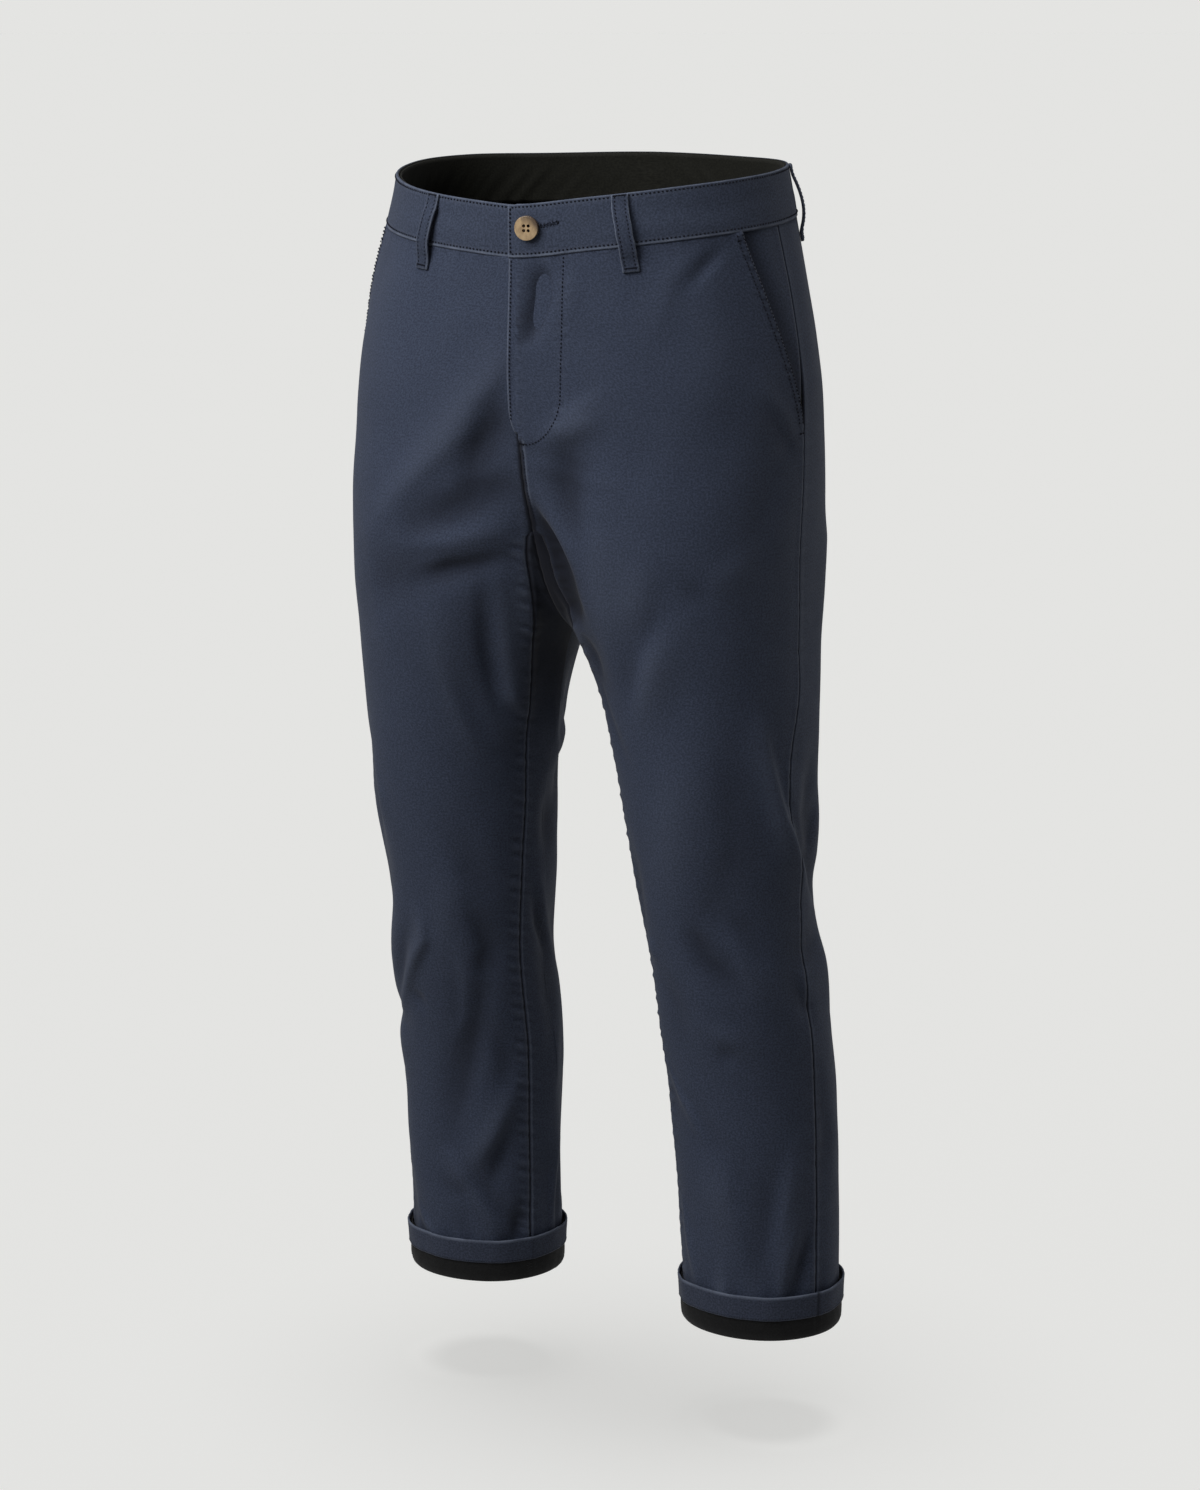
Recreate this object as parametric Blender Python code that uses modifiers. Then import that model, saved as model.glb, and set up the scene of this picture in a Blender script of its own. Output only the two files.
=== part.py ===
"""Chino trousers in their worn, hollow form, built as the cloth pieces that a maker cuts and sews.

Metres, +Z up. The front faces -Y and the wearer's left is +X. The origin is the centre of the waist
opening. "depth" is the distance below the origin, "side" is +1 for the wearer's left leg and -1 for the
right one, and "angle" runs round a leg's section: 0 at its outer side, negative towards the front.
"""
import math

import bmesh
import bpy
import numpy as np
from mathutils import Matrix, Vector

MM = 0.001
COLLECTION = "chino_trousers"
CUTTERS = "cutters"
LEFT, RIGHT = 1, -1
SIDE_NAMES = {LEFT: "left", RIGHT: "right"}

# Cloth
WALL = 1.8 * MM
SEAM = 0.3 * MM
LAYER_GAP = 0.6 * MM
CORNER_REACH = 14

# Height marks, as depths below the waist
BAND_HEIGHT = 40 * MM
FLY_END = 190 * MM
POCKET_END = 187 * MM
FORK = 270 * MM
FORK_ROUND = 1.5 * MM
THIGH = 400 * MM
PANEL_END = 924 * MM
HEM = 928 * MM

# The waist opening is higher at the back than at the front
WAIST_TILT = 17 * MM
WAIST_HALF_DEPTH = 118 * MM
TILT_START = 30 * MM
TILT_END = 220 * MM

# The form: superellipse sections of one leg, which reach past the middle plane above the crotch
CREASE_ROUND = 10 * MM
SECTION_COLUMNS = ("depth", "leg_x", "leg_y", "half_width", "front", "back", "front_power", "back_power")
SECTIONS = (
    (-10, 0, 0, 161, 116, 116, 2.20, 2.20),
    (0, 0, 0, 161, 117, 117, 2.20, 2.20),
    (40, 6, 0, 162, 117, 121, 2.20, 2.20),
    (95, 18, 0, 161, 118, 125, 2.15, 2.20),
    (155, 36, -2, 153, 115, 129, 2.10, 2.35),
    (200, 52, -2, 138, 112, 130, 2.10, 2.50),
    (245, 73, -2, 117, 110, 128, 2.10, 2.60),
    (285, 84, -2, 105, 107, 124, 2.10, 2.70),
    (320, 91, -1, 98, 102, 118, 2.10, 2.50),
    (357, 99, 0, 89, 96, 110, 2.05, 2.20),
    (390, 105, 3, 84, 92, 103, 2.00, 2.00),
    (450, 113, 6, 77, 84, 93, 2.00, 2.00),
    (510, 118, 10, 74, 76, 84, 2.00, 2.00),
    (570, 120, 16, 69, 70, 78, 2.00, 2.00),
    (630, 126, 26, 67, 68, 74, 2.00, 2.00),
    (720, 130, 43, 68, 64, 70, 2.00, 2.00),
    (810, 133, 52, 66, 62, 66, 2.00, 2.00),
    (928, 135, 58, 63.5, 60, 62, 2.00, 2.00),
)

# How each leg stands away from the mean leg: outward and backward shifts
STANCE_COLUMNS = ("depth", "left_out", "left_back", "right_out", "right_back")
STANCE = (
    (240, 0, 0, 0, 0),
    (300, 0, 0, 0.5, 0),
    (390, -1.5, -2, 6, 2),
    (450, -2, -4, 4, 4),
    (560, -1, -7, 0, 7),
    (650, 2, -10, -2.5, 10),
    (928, 4, -15, -3, 15),
)

# Sideways shift of the hips, towards the wearer's left
SWAY_COLUMNS = ("depth", "shift")
HIP_SWAY = ((0, 0), (60, 0), (200, -3.5), (265, -5), (310, -5), (357, -2), (400, 0), (440, 0), (928, 0))

# Angles of the side seam and, below the fork, of the inseam
SEAM_COLUMNS = ("depth", "degrees")
SIDE_SEAM = (
    (0, -5), (100, -3), (250, -1), (380, -3), (485, -16), (560, -6), (640, -12), (720, -18), (928, -24),
)
INSEAM = (
    (270, -129), (290, -133.5), (310, -138.5), (330, -143.5), (350, -148), (380, -153), (430, -157.5),
    (470, -159), (585, -154), (711, -151), (928, -152),
)

# Largest folds: soft ridges (+) and troughs (-) that run from one place on a leg to another
FOLD_COLUMNS = ("depth_a", "degrees_a", "depth_b", "degrees_b", "width", "height")
FOLDS = {
    LEFT: (
        (130, 0, 330, 0, 70, 3.0),
        (345, -118, 400, -140, 20, -3.5),
        (430, -34, 540, -14, 15, 4.0),
        (455, 12, 500, 2, 14, -4.0),
        (500, 2, 580, 22, 14, -3.5),
        (596, 30, 606, -20, 16, -3.0),
        (420, 150, 520, 110, 20, -4.0),
        (500, 70, 560, 120, 18, 4.0),
        (700, -150, 760, -135, 16, -2.5),
        (640, 80, 740, 120, 22, -3.5),
    ),
    RIGHT: (
        (130, 0, 330, 0, 70, -1.5),
        (190, -95, 275, -55, 26, -4.0),
        (300, -95, 320, -60, 24, -4.0),
        (470, 150, 520, 168, 15, -4.0),
        (440, 140, 470, 175, 14, 3.0),
        (480, -10, 575, -30, 15, 3.5),
        (600, -50, 680, -25, 16, 4.0),
        (690, -8, 705, -45, 12, -3.5),
        (600, 165, 650, 150, 14, -3.5),
        (420, 60, 500, 110, 20, -4.0),
        (520, 60, 560, 120, 18, 3.5),
        (760, 160, 860, 150, 12, -3.0),
        (640, 70, 740, 110, 22, -3.0),
    ),
}

# Grid of the panels
UPPER_ROWS = 10
CROTCH_ROWS = 9
LEG_ROWS = 22
FRONT_COLUMNS = 10
BACK_COLUMNS = 13
UNDER_COLUMNS = 3

# Waistband
BAND_WALL = 2.8 * MM
BAND_OUT = 1.0 * MM
LINING_WALL = 1.2 * MM
LINING_DEPTHS = (1.0 * MM, 13.5 * MM, 26.5 * MM, 39.5 * MM)
LINING_SINK = 2.4 * MM
LAP_RISE = 2.4 * MM
LAP_BLEND = 45 * MM
LAP_EDGE = -8 * MM
LAP_COLUMNS = (10 * MM, 20 * MM)
UNDERLAP_COLUMNS = (32 * MM, 20 * MM, 10 * MM)
UNDERLAP_START = -35 * MM
UNDERLAP_BLEND = 25 * MM

# Fly
FLY_BLEND = 40 * MM
FLY_FADE = 18 * MM
FLY_LAP_WIDTH = 8 * MM
FLY_LAP_ROUND = 25 * MM
SHIELD_EDGES = (-9 * MM, 32 * MM)
SHIELD_DEPTHS = (44 * MM, 186 * MM)
SHIELD_SINK = WALL + LAYER_GAP + 0.2 * MM

# Slant pockets
POCKET_SWING = 19
POCKET_CURVE = 1.3
POCKET_UNDERLAY = 10 * MM
FACING_SINK = WALL + 2 * LAYER_GAP
FACING_COLUMNS = 4

# Belt loops: their depths and how far their inner face stands off the panels
LOOP_WIDTH = 13 * MM
LOOP_WALL = 1.6 * MM
LOOP_COLUMNS = ("depth", "stand_off")
LOOP_ROWS = (
    (0.5, 1.4), (3, 3.4), (8, 5.2), (16, 5.9), (26, 5.9), (36, 5.4), (44, 4.0), (50, 1.8), (53, 0.4), (59, 0.4),
)
LOOP_ANGLES = {"front": -60, "back": 20}

# Button
BUTTON_X = 8 * MM
BUTTON_DEPTH = 20 * MM
BUTTON_RADIUS = 10 * MM
BUTTON_THICK = 3.6 * MM
BUTTON_RIM = 2.4 * MM
BUTTON_DISH = 0.9 * MM
BUTTON_CLEAR = 0.45 * MM
BUTTON_SEGMENTS = 32
HOLE_RADIUS = 1.1 * MM
HOLE_SPACING = 4.6 * MM

# Turn-up at the leg's end: profiles as depth above the hem fold and distance out of the leg's surface
PROFILE_COLUMNS = ("up", "out")
TURNUP_PROFILE = (
    (37, 1.9), (20, 1.9), (2.5, 1.9), (0, 0.8), (0, -2.4), (2.5, -3.6), (15, -3.6), (15, -2.2), (3.7, -2.2),
    (3.7, 0.4), (20, 0.4), (37, 0.4),
)
HEM_BAND_PROFILE = ((39, 4.4), (30, 4.0), (19, 3.8), (19, 2.3), (30, 2.4), (39, 2.7))

# Colours (linear), roughness
NAVY = (0.042, 0.056, 0.088)
NAVY_DARK = (0.030, 0.038, 0.060)
BLACK = (0.010, 0.010, 0.011)
HORN = (0.26, 0.18, 0.10)


def smooth_step(value):
    """Ease from 0 to 1 as the value goes from 0 to 1."""
    value = np.clip(value, 0, 1)
    return value * value * (3 - 2 * value)


def signed_power(value, power):
    """Power that keeps the sign, for superellipses."""
    return np.sign(value) * np.abs(value) ** power


def table_column(rows, columns, name, depth):
    """Smooth curve through one column of a table whose first column is the depth in millimetres."""
    table = np.asarray(rows, float)
    at = table[:, 0]
    value = table[:, columns.index(name)]
    slope = np.gradient(value, at)
    where = np.asarray(depth, float) / MM
    low = np.clip(np.searchsorted(at, where, side="right") - 1, 0, len(at) - 2)
    span = at[low + 1] - at[low]
    t = np.clip((where - at[low]) / span, 0, 1)
    start = (1 + 2 * t) * (1 - t) ** 2 * value[low] + t * (1 - t) ** 2 * span * slope[low]
    end = t * t * (3 - 2 * t) * value[low + 1] + t * t * (t - 1) * span * slope[low + 1]
    return start + end


def section(side, depth):
    """Sizes of one leg's section at a depth, in metres (the powers are plain numbers)."""
    sizes = {name: table_column(SECTIONS, SECTION_COLUMNS, name, depth) for name in SECTION_COLUMNS[1:]}
    for name in ("leg_x", "leg_y", "half_width", "front", "back"):
        sizes[name] = sizes[name] * MM
    prefix = SIDE_NAMES[side]
    sizes["leg_x"] = sizes["leg_x"] + MM * table_column(STANCE, STANCE_COLUMNS, prefix + "_out", depth)
    sizes["leg_y"] = sizes["leg_y"] + MM * table_column(STANCE, STANCE_COLUMNS, prefix + "_back", depth)
    return sizes


def section_power(sizes, behind):
    """Superellipse power of the front or the back half."""
    return np.where(behind, sizes["back_power"], sizes["front_power"])


def open_angle(side, depth, behind=False):
    """Angle from the outer side to where the section meets the middle plane, or pi where it is closed."""
    sizes = section(side, depth)
    reach = np.clip((CREASE_ROUND - sizes["leg_x"]) / sizes["half_width"], -1, 1)
    power = section_power(sizes, behind)
    return np.arccos(np.clip(signed_power(reach, power / 2), -1, 1))


def front_angle(side, depth, distance):
    """Angle at which the front of the section is at a distance from the middle plane."""
    sizes = section(side, depth)
    across = np.sqrt(np.asarray(distance, float) ** 2 + CREASE_ROUND ** 2)
    reach = np.clip((across - sizes["leg_x"]) / sizes["half_width"], -1, 1)
    return -np.arccos(np.clip(signed_power(reach, sizes["front_power"] / 2), -1, 1))


def back_angle(side, depth, distance):
    """Angle at which the back of the section is at a distance from the middle plane."""
    sizes = section(side, depth)
    across = np.sqrt(np.asarray(distance, float) ** 2 + CREASE_ROUND ** 2)
    reach = np.clip((across - sizes["leg_x"]) / sizes["half_width"], -1, 1)
    return np.arccos(np.clip(signed_power(reach, sizes["back_power"] / 2), -1, 1))


def section_value(side, x, y, depth):
    """1 on the section's outline, less inside it and more outside."""
    sizes = section(side, depth)
    across = np.sqrt(x * x + CREASE_ROUND ** 2)
    behind = y > sizes["leg_y"]
    power = section_power(sizes, behind)
    reach = np.where(behind, sizes["back"], sizes["front"])
    return (np.abs((across - sizes["leg_x"]) / sizes["half_width"]) ** power
            + np.abs((y - sizes["leg_y"]) / reach) ** power)


def outline_point(side, depth, angle):
    """Plan position of a point of the section, on the wearer's left whatever the side."""
    sizes = section(side, depth)
    behind = angle > 0
    power = 2 / section_power(sizes, behind)
    across = sizes["leg_x"] + sizes["half_width"] * signed_power(np.cos(angle), power)
    reach = np.where(behind, sizes["back"], sizes["front"])
    y = sizes["leg_y"] + reach * signed_power(np.sin(angle), power)
    x = np.sqrt(np.maximum(across ** 2 - CREASE_ROUND ** 2, 0))
    return x, y


def outward(side, x, y, depth):
    """Unit normal of the form, out of the cloth."""
    step = 0.1 * MM
    along_x = section_value(side, x + step, y, depth) - section_value(side, np.abs(x - step), y, depth)
    along_x = np.where(x < step, 0, along_x)
    along_y = section_value(side, x, y + step, depth) - section_value(side, x, y - step, depth)
    along_z = section_value(side, x, y, depth - step) - section_value(side, x, y, depth + step)
    normal = np.stack([along_x, along_y, along_z], -1)
    return normal / np.maximum(np.linalg.norm(normal, axis=-1, keepdims=True), 1e-12)


def fold_height(side, depth, angle):
    """Height of the folds at a place, out of the plain form."""
    sizes = section(side, depth)
    radius = (sizes["half_width"] + (sizes["front"] + sizes["back"]) / 2) / 2
    total = np.zeros(np.broadcast(depth, angle).shape)
    for row in FOLDS[side]:
        fold = dict(zip(FOLD_COLUMNS, row))
        run_depth = (fold["depth_b"] - fold["depth_a"]) * MM
        turn = math.radians(fold["degrees_b"] - fold["degrees_a"])
        run_round = turn * radius
        down = depth - fold["depth_a"] * MM
        offset = angle - math.radians(fold["degrees_a"])
        round_leg = (offset + math.pi) % (2 * math.pi) - math.pi
        length = run_depth ** 2 + run_round ** 2
        along = np.clip((down * run_depth + round_leg * radius * run_round) / length, 0, 1)
        away = np.hypot(down - along * run_depth, round_leg * radius - along * run_round)
        taper = 0.45 + 0.55 * np.sin(math.pi * along)
        total = total + fold["height"] * MM * taper * np.exp(-(away / (fold["width"] * MM)) ** 2)
    return total


def cloth_point(side, depth, angle, out=0.0):
    """Points of the cloth's outer surface, moved out of it by a distance."""
    depth, angle, out = np.broadcast_arrays(np.asarray(depth, float), np.asarray(angle, float), out)
    x, y = outline_point(side, depth, angle)
    tilt = WAIST_TILT * y / WAIST_HALF_DEPTH * (1 - smooth_step((depth - TILT_START) / (TILT_END - TILT_START)))
    crease_fade = smooth_step(x / (2 * CREASE_ROUND))
    move = out + fold_height(side, depth, angle) * crease_fade
    place = np.stack([x, y, tilt - depth], -1) + outward(side, x, y, depth) * move[..., None]
    place[..., 0] = place[..., 0] * side + table_column(HIP_SWAY, SWAY_COLUMNS, "shift", depth) * MM
    return place


def front_point(x, depth, out=0.0):
    """Point on the front at a signed distance from the middle plane."""
    side = LEFT if x >= 0 else RIGHT
    return cloth_point(side, depth, front_angle(side, depth, abs(x)), out)


def back_point(x, depth, out=0.0):
    """Point on the back at a signed distance from the middle plane."""
    side = LEFT if x >= 0 else RIGHT
    return cloth_point(side, depth, back_angle(side, depth, abs(x)), out)


def crotch_depth(side):
    """Depth where the leg's section closes, found by halving."""
    open_depth, closed_depth = FORK, THIGH
    for _ in range(40):
        middle = (open_depth + closed_depth) / 2
        sizes = section(side, middle)
        if sizes["leg_x"] - sizes["half_width"] < CREASE_ROUND:
            open_depth = middle
        else:
            closed_depth = middle
    return closed_depth


def side_seam_angle(depth):
    """Angle of the side seam."""
    return np.radians(table_column(SIDE_SEAM, SEAM_COLUMNS, "degrees", depth))


def inseam_angle(side, depth):
    """Angle of the inseam, or of the front rise seam above the fork."""
    below_fork = np.radians(table_column(INSEAM, SEAM_COLUMNS, "degrees", depth))
    return np.where(depth > FORK - SEAM, below_fork, -open_angle(side, depth))


def pocket_angle(depth):
    """Angle of the slant pocket's opening edge, which meets the side seam at the pocket's end."""
    share = np.clip((depth - BAND_HEIGHT) / (POCKET_END - BAND_HEIGHT), 0, 1)
    return side_seam_angle(depth) - math.radians(POCKET_SWING) * (1 - share ** POCKET_CURVE)


def panel_depths(side):
    """Depths of the panels' rows, closer together at the crotch."""
    crotch = crotch_depth(side)
    upper = np.linspace(BAND_HEIGHT, FORK, UPPER_ROWS + 1)
    share = np.sin(np.linspace(0, math.pi / 2, CROTCH_ROWS - 2))
    fork_to_crotch = FORK + (crotch - FORK) * share
    below = np.linspace(crotch, THIGH, 4)
    leg = np.linspace(THIGH, PANEL_END, LEG_ROWS + 1)
    rows = np.concatenate([upper, fork_to_crotch, below, leg, [POCKET_END, FLY_END, FORK - FORK_ROUND]])
    return np.unique(np.round(rows, 7))


def front_angles(side, depth):
    """Angles of the front panel's columns, from its inner edge to the side seam or pocket edge."""
    end = pocket_angle(depth) if depth < POCKET_END else side_seam_angle(depth)
    return np.linspace(inseam_angle(side, depth), end, FRONT_COLUMNS + 1)


def back_angles(side, depth):
    """Angles of the back panel's columns, from the side seam to the centre back or the innermost line."""
    return np.linspace(side_seam_angle(depth), open_angle(side, depth, behind=True), BACK_COLUMNS + 1)


def under_angles(side, depth):
    """Angles of the part of the back panel that comes forward between the legs to the inseam."""
    return np.linspace(-open_angle(side, depth), inseam_angle(side, depth), UNDER_COLUMNS + 1)


def ring_angles(side, depth):
    """Angles of all the columns round a closed leg, matching the panels' columns."""
    front = front_angles(side, depth)
    back = back_angles(side, depth)[1:]
    under = under_angles(side, depth)[1:-1]
    return np.concatenate([front, back, under])


def band_angles(side, depth):
    """Angles of the waistband's columns on one side, matching the top of the panels."""
    front = np.linspace(-open_angle(side, depth), side_seam_angle(depth), FRONT_COLUMNS + 1)
    lap = [front_angle(side, depth, x) for x in LAP_COLUMNS]
    return np.concatenate([front[:1], lap, front[1:], back_angles(side, depth)[1:]])


class ClothSheet:
    """An open sheet of cloth: outer points, each with the inner point behind it, made a closed wall."""

    def __init__(self):
        self.index = {}
        self.outer = []
        self.inner = []
        self.faces = []

    def add_point(self, outer, inner):
        """Index of a point, which is shared where two grids meet."""
        key = tuple(np.round(outer, 6))
        if key not in self.index:
            self.index[key] = len(self.outer)
            self.outer.append(np.array(outer))
            self.inner.append(np.array(inner))
        return self.index[key]

    def add_grid(self, outer_rows, inner_rows, flip=False):
        """Add rows of outer points with their inner points, turned over on the right leg."""
        ids = [[self.add_point(outer, inner) for outer, inner in zip(outer_row, inner_row)]
               for outer_row, inner_row in zip(outer_rows, inner_rows)]
        for upper, lower in zip(ids, ids[1:]):
            for k in range(len(upper) - 1):
                self.add_quad([upper[k], lower[k], lower[k + 1], upper[k + 1]], flip)

    def add_quad(self, corners, flip):
        """Add two triangles, split along the shorter diagonal, so that both faces of the wall match."""
        down, up = (self.outer[corners[a]] - self.outer[corners[b]] for a, b in ((0, 2), (1, 3)))
        if np.linalg.norm(up) < np.linalg.norm(down):
            corners = corners[1:] + corners[:1]
        for triangle in (corners[:3], [corners[0], corners[2], corners[3]]):
            if len(set(triangle)) == 3:
                self.faces.append(triangle[::-1] if flip else triangle)

    def border(self):
        """Edges of the sheet that only one face has, in that face's direction."""
        seen = {}
        for face in self.faces:
            for start, end in zip(face, face[1:] + face[:1]):
                seen[(start, end)] = True
        return [(start, end) for start, end in seen if (end, start) not in seen]

    def draw_in_border(self, distance):
        """Move the border into the sheet, so that two pieces part at their seam."""
        on_border = {corner for edge in self.border() for corner in edge}
        inward = {corner: np.zeros(3) for corner in on_border}
        for start, end in self.border():
            edge = self.outer[end] - self.outer[start]
            wall = self.inner[start] + self.inner[end] - self.outer[start] - self.outer[end]
            across = np.cross(edge, wall)
            across = across / max(np.linalg.norm(across), 1e-12)
            inward[start] += across
            inward[end] += across
        for corner, sum_across in inward.items():
            size = max(np.linalg.norm(sum_across), 1e-9)
            step = sum_across / size * distance * min(2 / size, CORNER_REACH)
            self.outer[corner] = self.outer[corner] + step
            self.inner[corner] = self.inner[corner] + step

    def build(self, name, material):
        """Make the closed wall as an object."""
        count = len(self.outer)
        faces = [list(face) for face in self.faces]
        faces += [[corner + count for corner in reversed(face)] for face in self.faces]
        faces += [[end, start, start + count, end + count] for start, end in self.border()]
        return make_object(name, self.outer + self.inner, faces, material)


def make_object(name, points, faces, material):
    """Make a mesh object of a closed surface with its faces pointing out."""
    mesh = bpy.data.meshes.new(name)
    mesh.from_pydata([tuple(map(float, point)) for point in points], [], faces)
    shape = bmesh.new()
    shape.from_mesh(mesh)
    bmesh.ops.recalc_face_normals(shape, faces=shape.faces)
    shape.to_mesh(mesh)
    shape.free()
    mesh.materials.append(material)
    mesh.shade_smooth()
    mesh.set_sharp_from_angle(angle=math.radians(50))
    made = bpy.data.objects.new(name, mesh)
    bpy.data.collections[COLLECTION].objects.link(made)
    return made


def make_material(name, colour, roughness, metallic=0.0):
    """Plain Principled material."""
    material = bpy.data.materials.new(name)
    material.use_nodes = True
    shader = material.node_tree.nodes["Principled BSDF"]
    shader.inputs["Base Color"].default_value = (*colour, 1)
    shader.inputs["Roughness"].default_value = roughness
    shader.inputs["Metallic"].default_value = metallic
    return material


def sheet_grid(sheet, side, depths, angles_at, outer_out, wall=WALL):
    """Add the part of a leg's surface between the angles that angles_at gives for each depth."""
    outer_rows = []
    inner_rows = []
    for depth in depths:
        angles = angles_at(side, depth)
        out = outer_out(side, depth, angles)
        outer_rows.append(cloth_point(side, depth, angles, out))
        inner_rows.append(cloth_point(side, depth, angles, out - wall))
    sheet.add_grid(outer_rows, inner_rows, flip=side == RIGHT)


def flush(side, depth, angles):
    """No distance from the form."""
    return np.zeros(len(angles))


def fly_rise(side, depth, angles):
    """How far the left front stands out to lap over the right one."""
    x, _ = outline_point(side, depth, angles)
    down = 1 - smooth_step((depth - FLY_END) / FLY_FADE)
    return (WALL + SEAM) * down * (1 - smooth_step(x / FLY_BLEND))


def fly_lap_width(depth):
    """Width of the strip of the left front that laps past the middle, rounded off at its end."""
    left = np.clip((FLY_END - depth) / FLY_LAP_ROUND, 0, 1)
    return FLY_LAP_WIDTH * math.sqrt(1 - (1 - left) ** 2)


def make_front(side):
    """Front panel. The left one carries the lap of the fly."""
    sheet = ClothSheet()
    depths = panel_depths(side)
    rise = fly_rise if side == LEFT else flush
    sheet_grid(sheet, side, depths, front_angles, rise)
    if side == LEFT:
        lap_depths = [depth for depth in depths if depth <= FLY_END + 1e-6]
        outer_rows = []
        inner_rows = []
        for depth in lap_depths:
            across = [-fly_lap_width(depth), -fly_lap_width(depth) / 2, 0.0]
            outer_rows.append([front_point(x, depth, WALL + SEAM) for x in across])
            inner_rows.append([front_point(x, depth, SEAM) for x in across])
        sheet.add_grid(outer_rows, inner_rows)
    sheet.draw_in_border(SEAM / 2)
    return sheet


def make_back(side):
    """Back panel, which reaches under the crotch to the inseam."""
    sheet = ClothSheet()
    depths = panel_depths(side)
    sheet_grid(sheet, side, depths, back_angles, flush)
    lower = [depth for depth in depths if depth > FORK - SEAM]
    sheet_grid(sheet, side, lower, under_angles, flush)
    sheet.draw_in_border(SEAM / 2)
    return sheet


def make_facing(side):
    """Pocket facing: the piece of the side that shows behind the slant opening."""
    depths = [depth for depth in panel_depths(side) if depth <= POCKET_END - 1 * MM]

    def angles_at(_, depth):
        edge = pocket_angle(depth)
        underlay = POCKET_UNDERLAY / WAIST_HALF_DEPTH
        return np.concatenate([[edge - underlay], np.linspace(edge, side_seam_angle(depth), FACING_COLUMNS)])

    def sink(_, depth, angles):
        share = np.clip((angles - pocket_angle(depth)) / math.radians(POCKET_SWING), 0, 1)
        return -FACING_SINK * (1 - smooth_step(2 * share))

    sheet = ClothSheet()
    sheet_grid(sheet, side, depths, angles_at, sink)
    sheet.draw_in_border(SEAM / 2)
    return sheet


def make_fly_shield():
    """Underlap of the fly, behind the left front, sewn to the right front's edge."""
    top, bottom = SHIELD_DEPTHS
    left, right = SHIELD_EDGES
    depths = np.linspace(top, bottom, 8)
    across = np.linspace(left, right, 5)
    sheet = ClothSheet()
    outer_rows = [[front_point(x, depth, -SHIELD_SINK) for x in across] for depth in depths]
    inner_rows = [[front_point(x, depth, -SHIELD_SINK - WALL) for x in across] for depth in depths]
    sheet.add_grid(outer_rows, inner_rows)
    return sheet


def lap_out(x):
    """Distance of the left waistband's outer face from the form, at a signed x near the front."""
    return BAND_OUT + LAP_RISE * (1 - smooth_step(x / LAP_BLEND))


def underlap_out(x):
    """Distance of the right waistband's outer face from the form, which dips under the left one."""
    under = lap_out(x) - BAND_WALL - LAYER_GAP
    return BAND_OUT + (under - BAND_OUT) * smooth_step((x - UNDERLAP_START) / UNDERLAP_BLEND)


def band_row(side, depth, ends, out_at):
    """Outer and inner points of one row of a waistband, with its end past the middle."""
    angles = band_angles(side, depth)
    x, y = outline_point(side, depth, angles)
    out = np.where(y < 0, out_at(side * x), BAND_OUT)
    outer = [front_point(end, depth, out_at(end)) for end in ends]
    inner = [front_point(end, depth, out_at(end) - BAND_WALL) for end in ends]
    outer += list(cloth_point(side, depth, angles, out))
    inner += list(cloth_point(side, depth, angles, out - BAND_WALL))
    return outer, inner


def make_waistband(side):
    """Half of the waistband, from its end at the fly to the centre back seam."""
    past_middle = (LAP_EDGE, LAP_EDGE / 2) if side == LEFT else UNDERLAP_COLUMNS
    out_at = lap_out if side == LEFT else underlap_out
    depths = np.linspace(0, BAND_HEIGHT, 4)
    rows = [band_row(side, depth, past_middle, out_at) for depth in depths]
    sheet = ClothSheet()
    sheet.add_grid([outer for outer, _ in rows], [inner for _, inner in rows], flip=side == RIGHT)
    sheet.draw_in_border(SEAM / 2)
    return sheet


def make_waistband_lining():
    """Inner band of the waist, one strip from near one side of the fly round to the other."""
    outer_rows = []
    inner_rows = []
    for depth in LINING_DEPTHS:
        outer = []
        inner = []
        for side in (LEFT, RIGHT):
            angles = band_angles(side, depth)
            x, y = outline_point(side, depth, angles)
            angles = angles[(x > LAP_BLEND) | (y > 0)]
            near = cloth_point(side, depth, angles, -LINING_SINK)
            far = cloth_point(side, depth, angles, -LINING_SINK - LINING_WALL)
            outer += list(near) if side == LEFT else list(near[::-1])[1:]
            inner += list(far) if side == LEFT else list(far[::-1])[1:]
        outer_rows.append(outer)
        inner_rows.append(inner)
    sheet = ClothSheet()
    sheet.add_grid(outer_rows, inner_rows)
    return sheet


def make_belt_loop(place_at):
    """Belt loop: a strip that stands off the waistband, along the line that place_at gives."""
    sheet = ClothSheet()
    outer_rows = []
    inner_rows = []
    for row in LOOP_ROWS:
        loop = dict(zip(LOOP_COLUMNS, row))
        depth = loop["depth"] * MM
        near = loop["stand_off"] * MM
        outer_rows.append(place_at(depth, near + LOOP_WALL))
        inner_rows.append(place_at(depth, near))
    sheet.add_grid(outer_rows, inner_rows)
    return sheet


def side_loop_line(side, degrees):
    """Left and right edge of a belt loop at an angle of one side, at a depth and distance out."""
    def place_at(depth, out):
        middle = cloth_point(side, depth, math.radians(degrees), out)
        beside = cloth_point(side, depth, math.radians(degrees) + 0.01, out)
        along = (beside - middle) / np.linalg.norm(beside - middle) * LOOP_WIDTH / 2
        return [middle - along, middle + along]
    return place_at


def centre_loop_line(depth, out):
    """Left and right edge of the centre back loop."""
    middle = back_point(0.0, depth, out)
    along = np.array([LOOP_WIDTH / 2, 0, 0])
    return [middle + along, middle - along]


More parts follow.
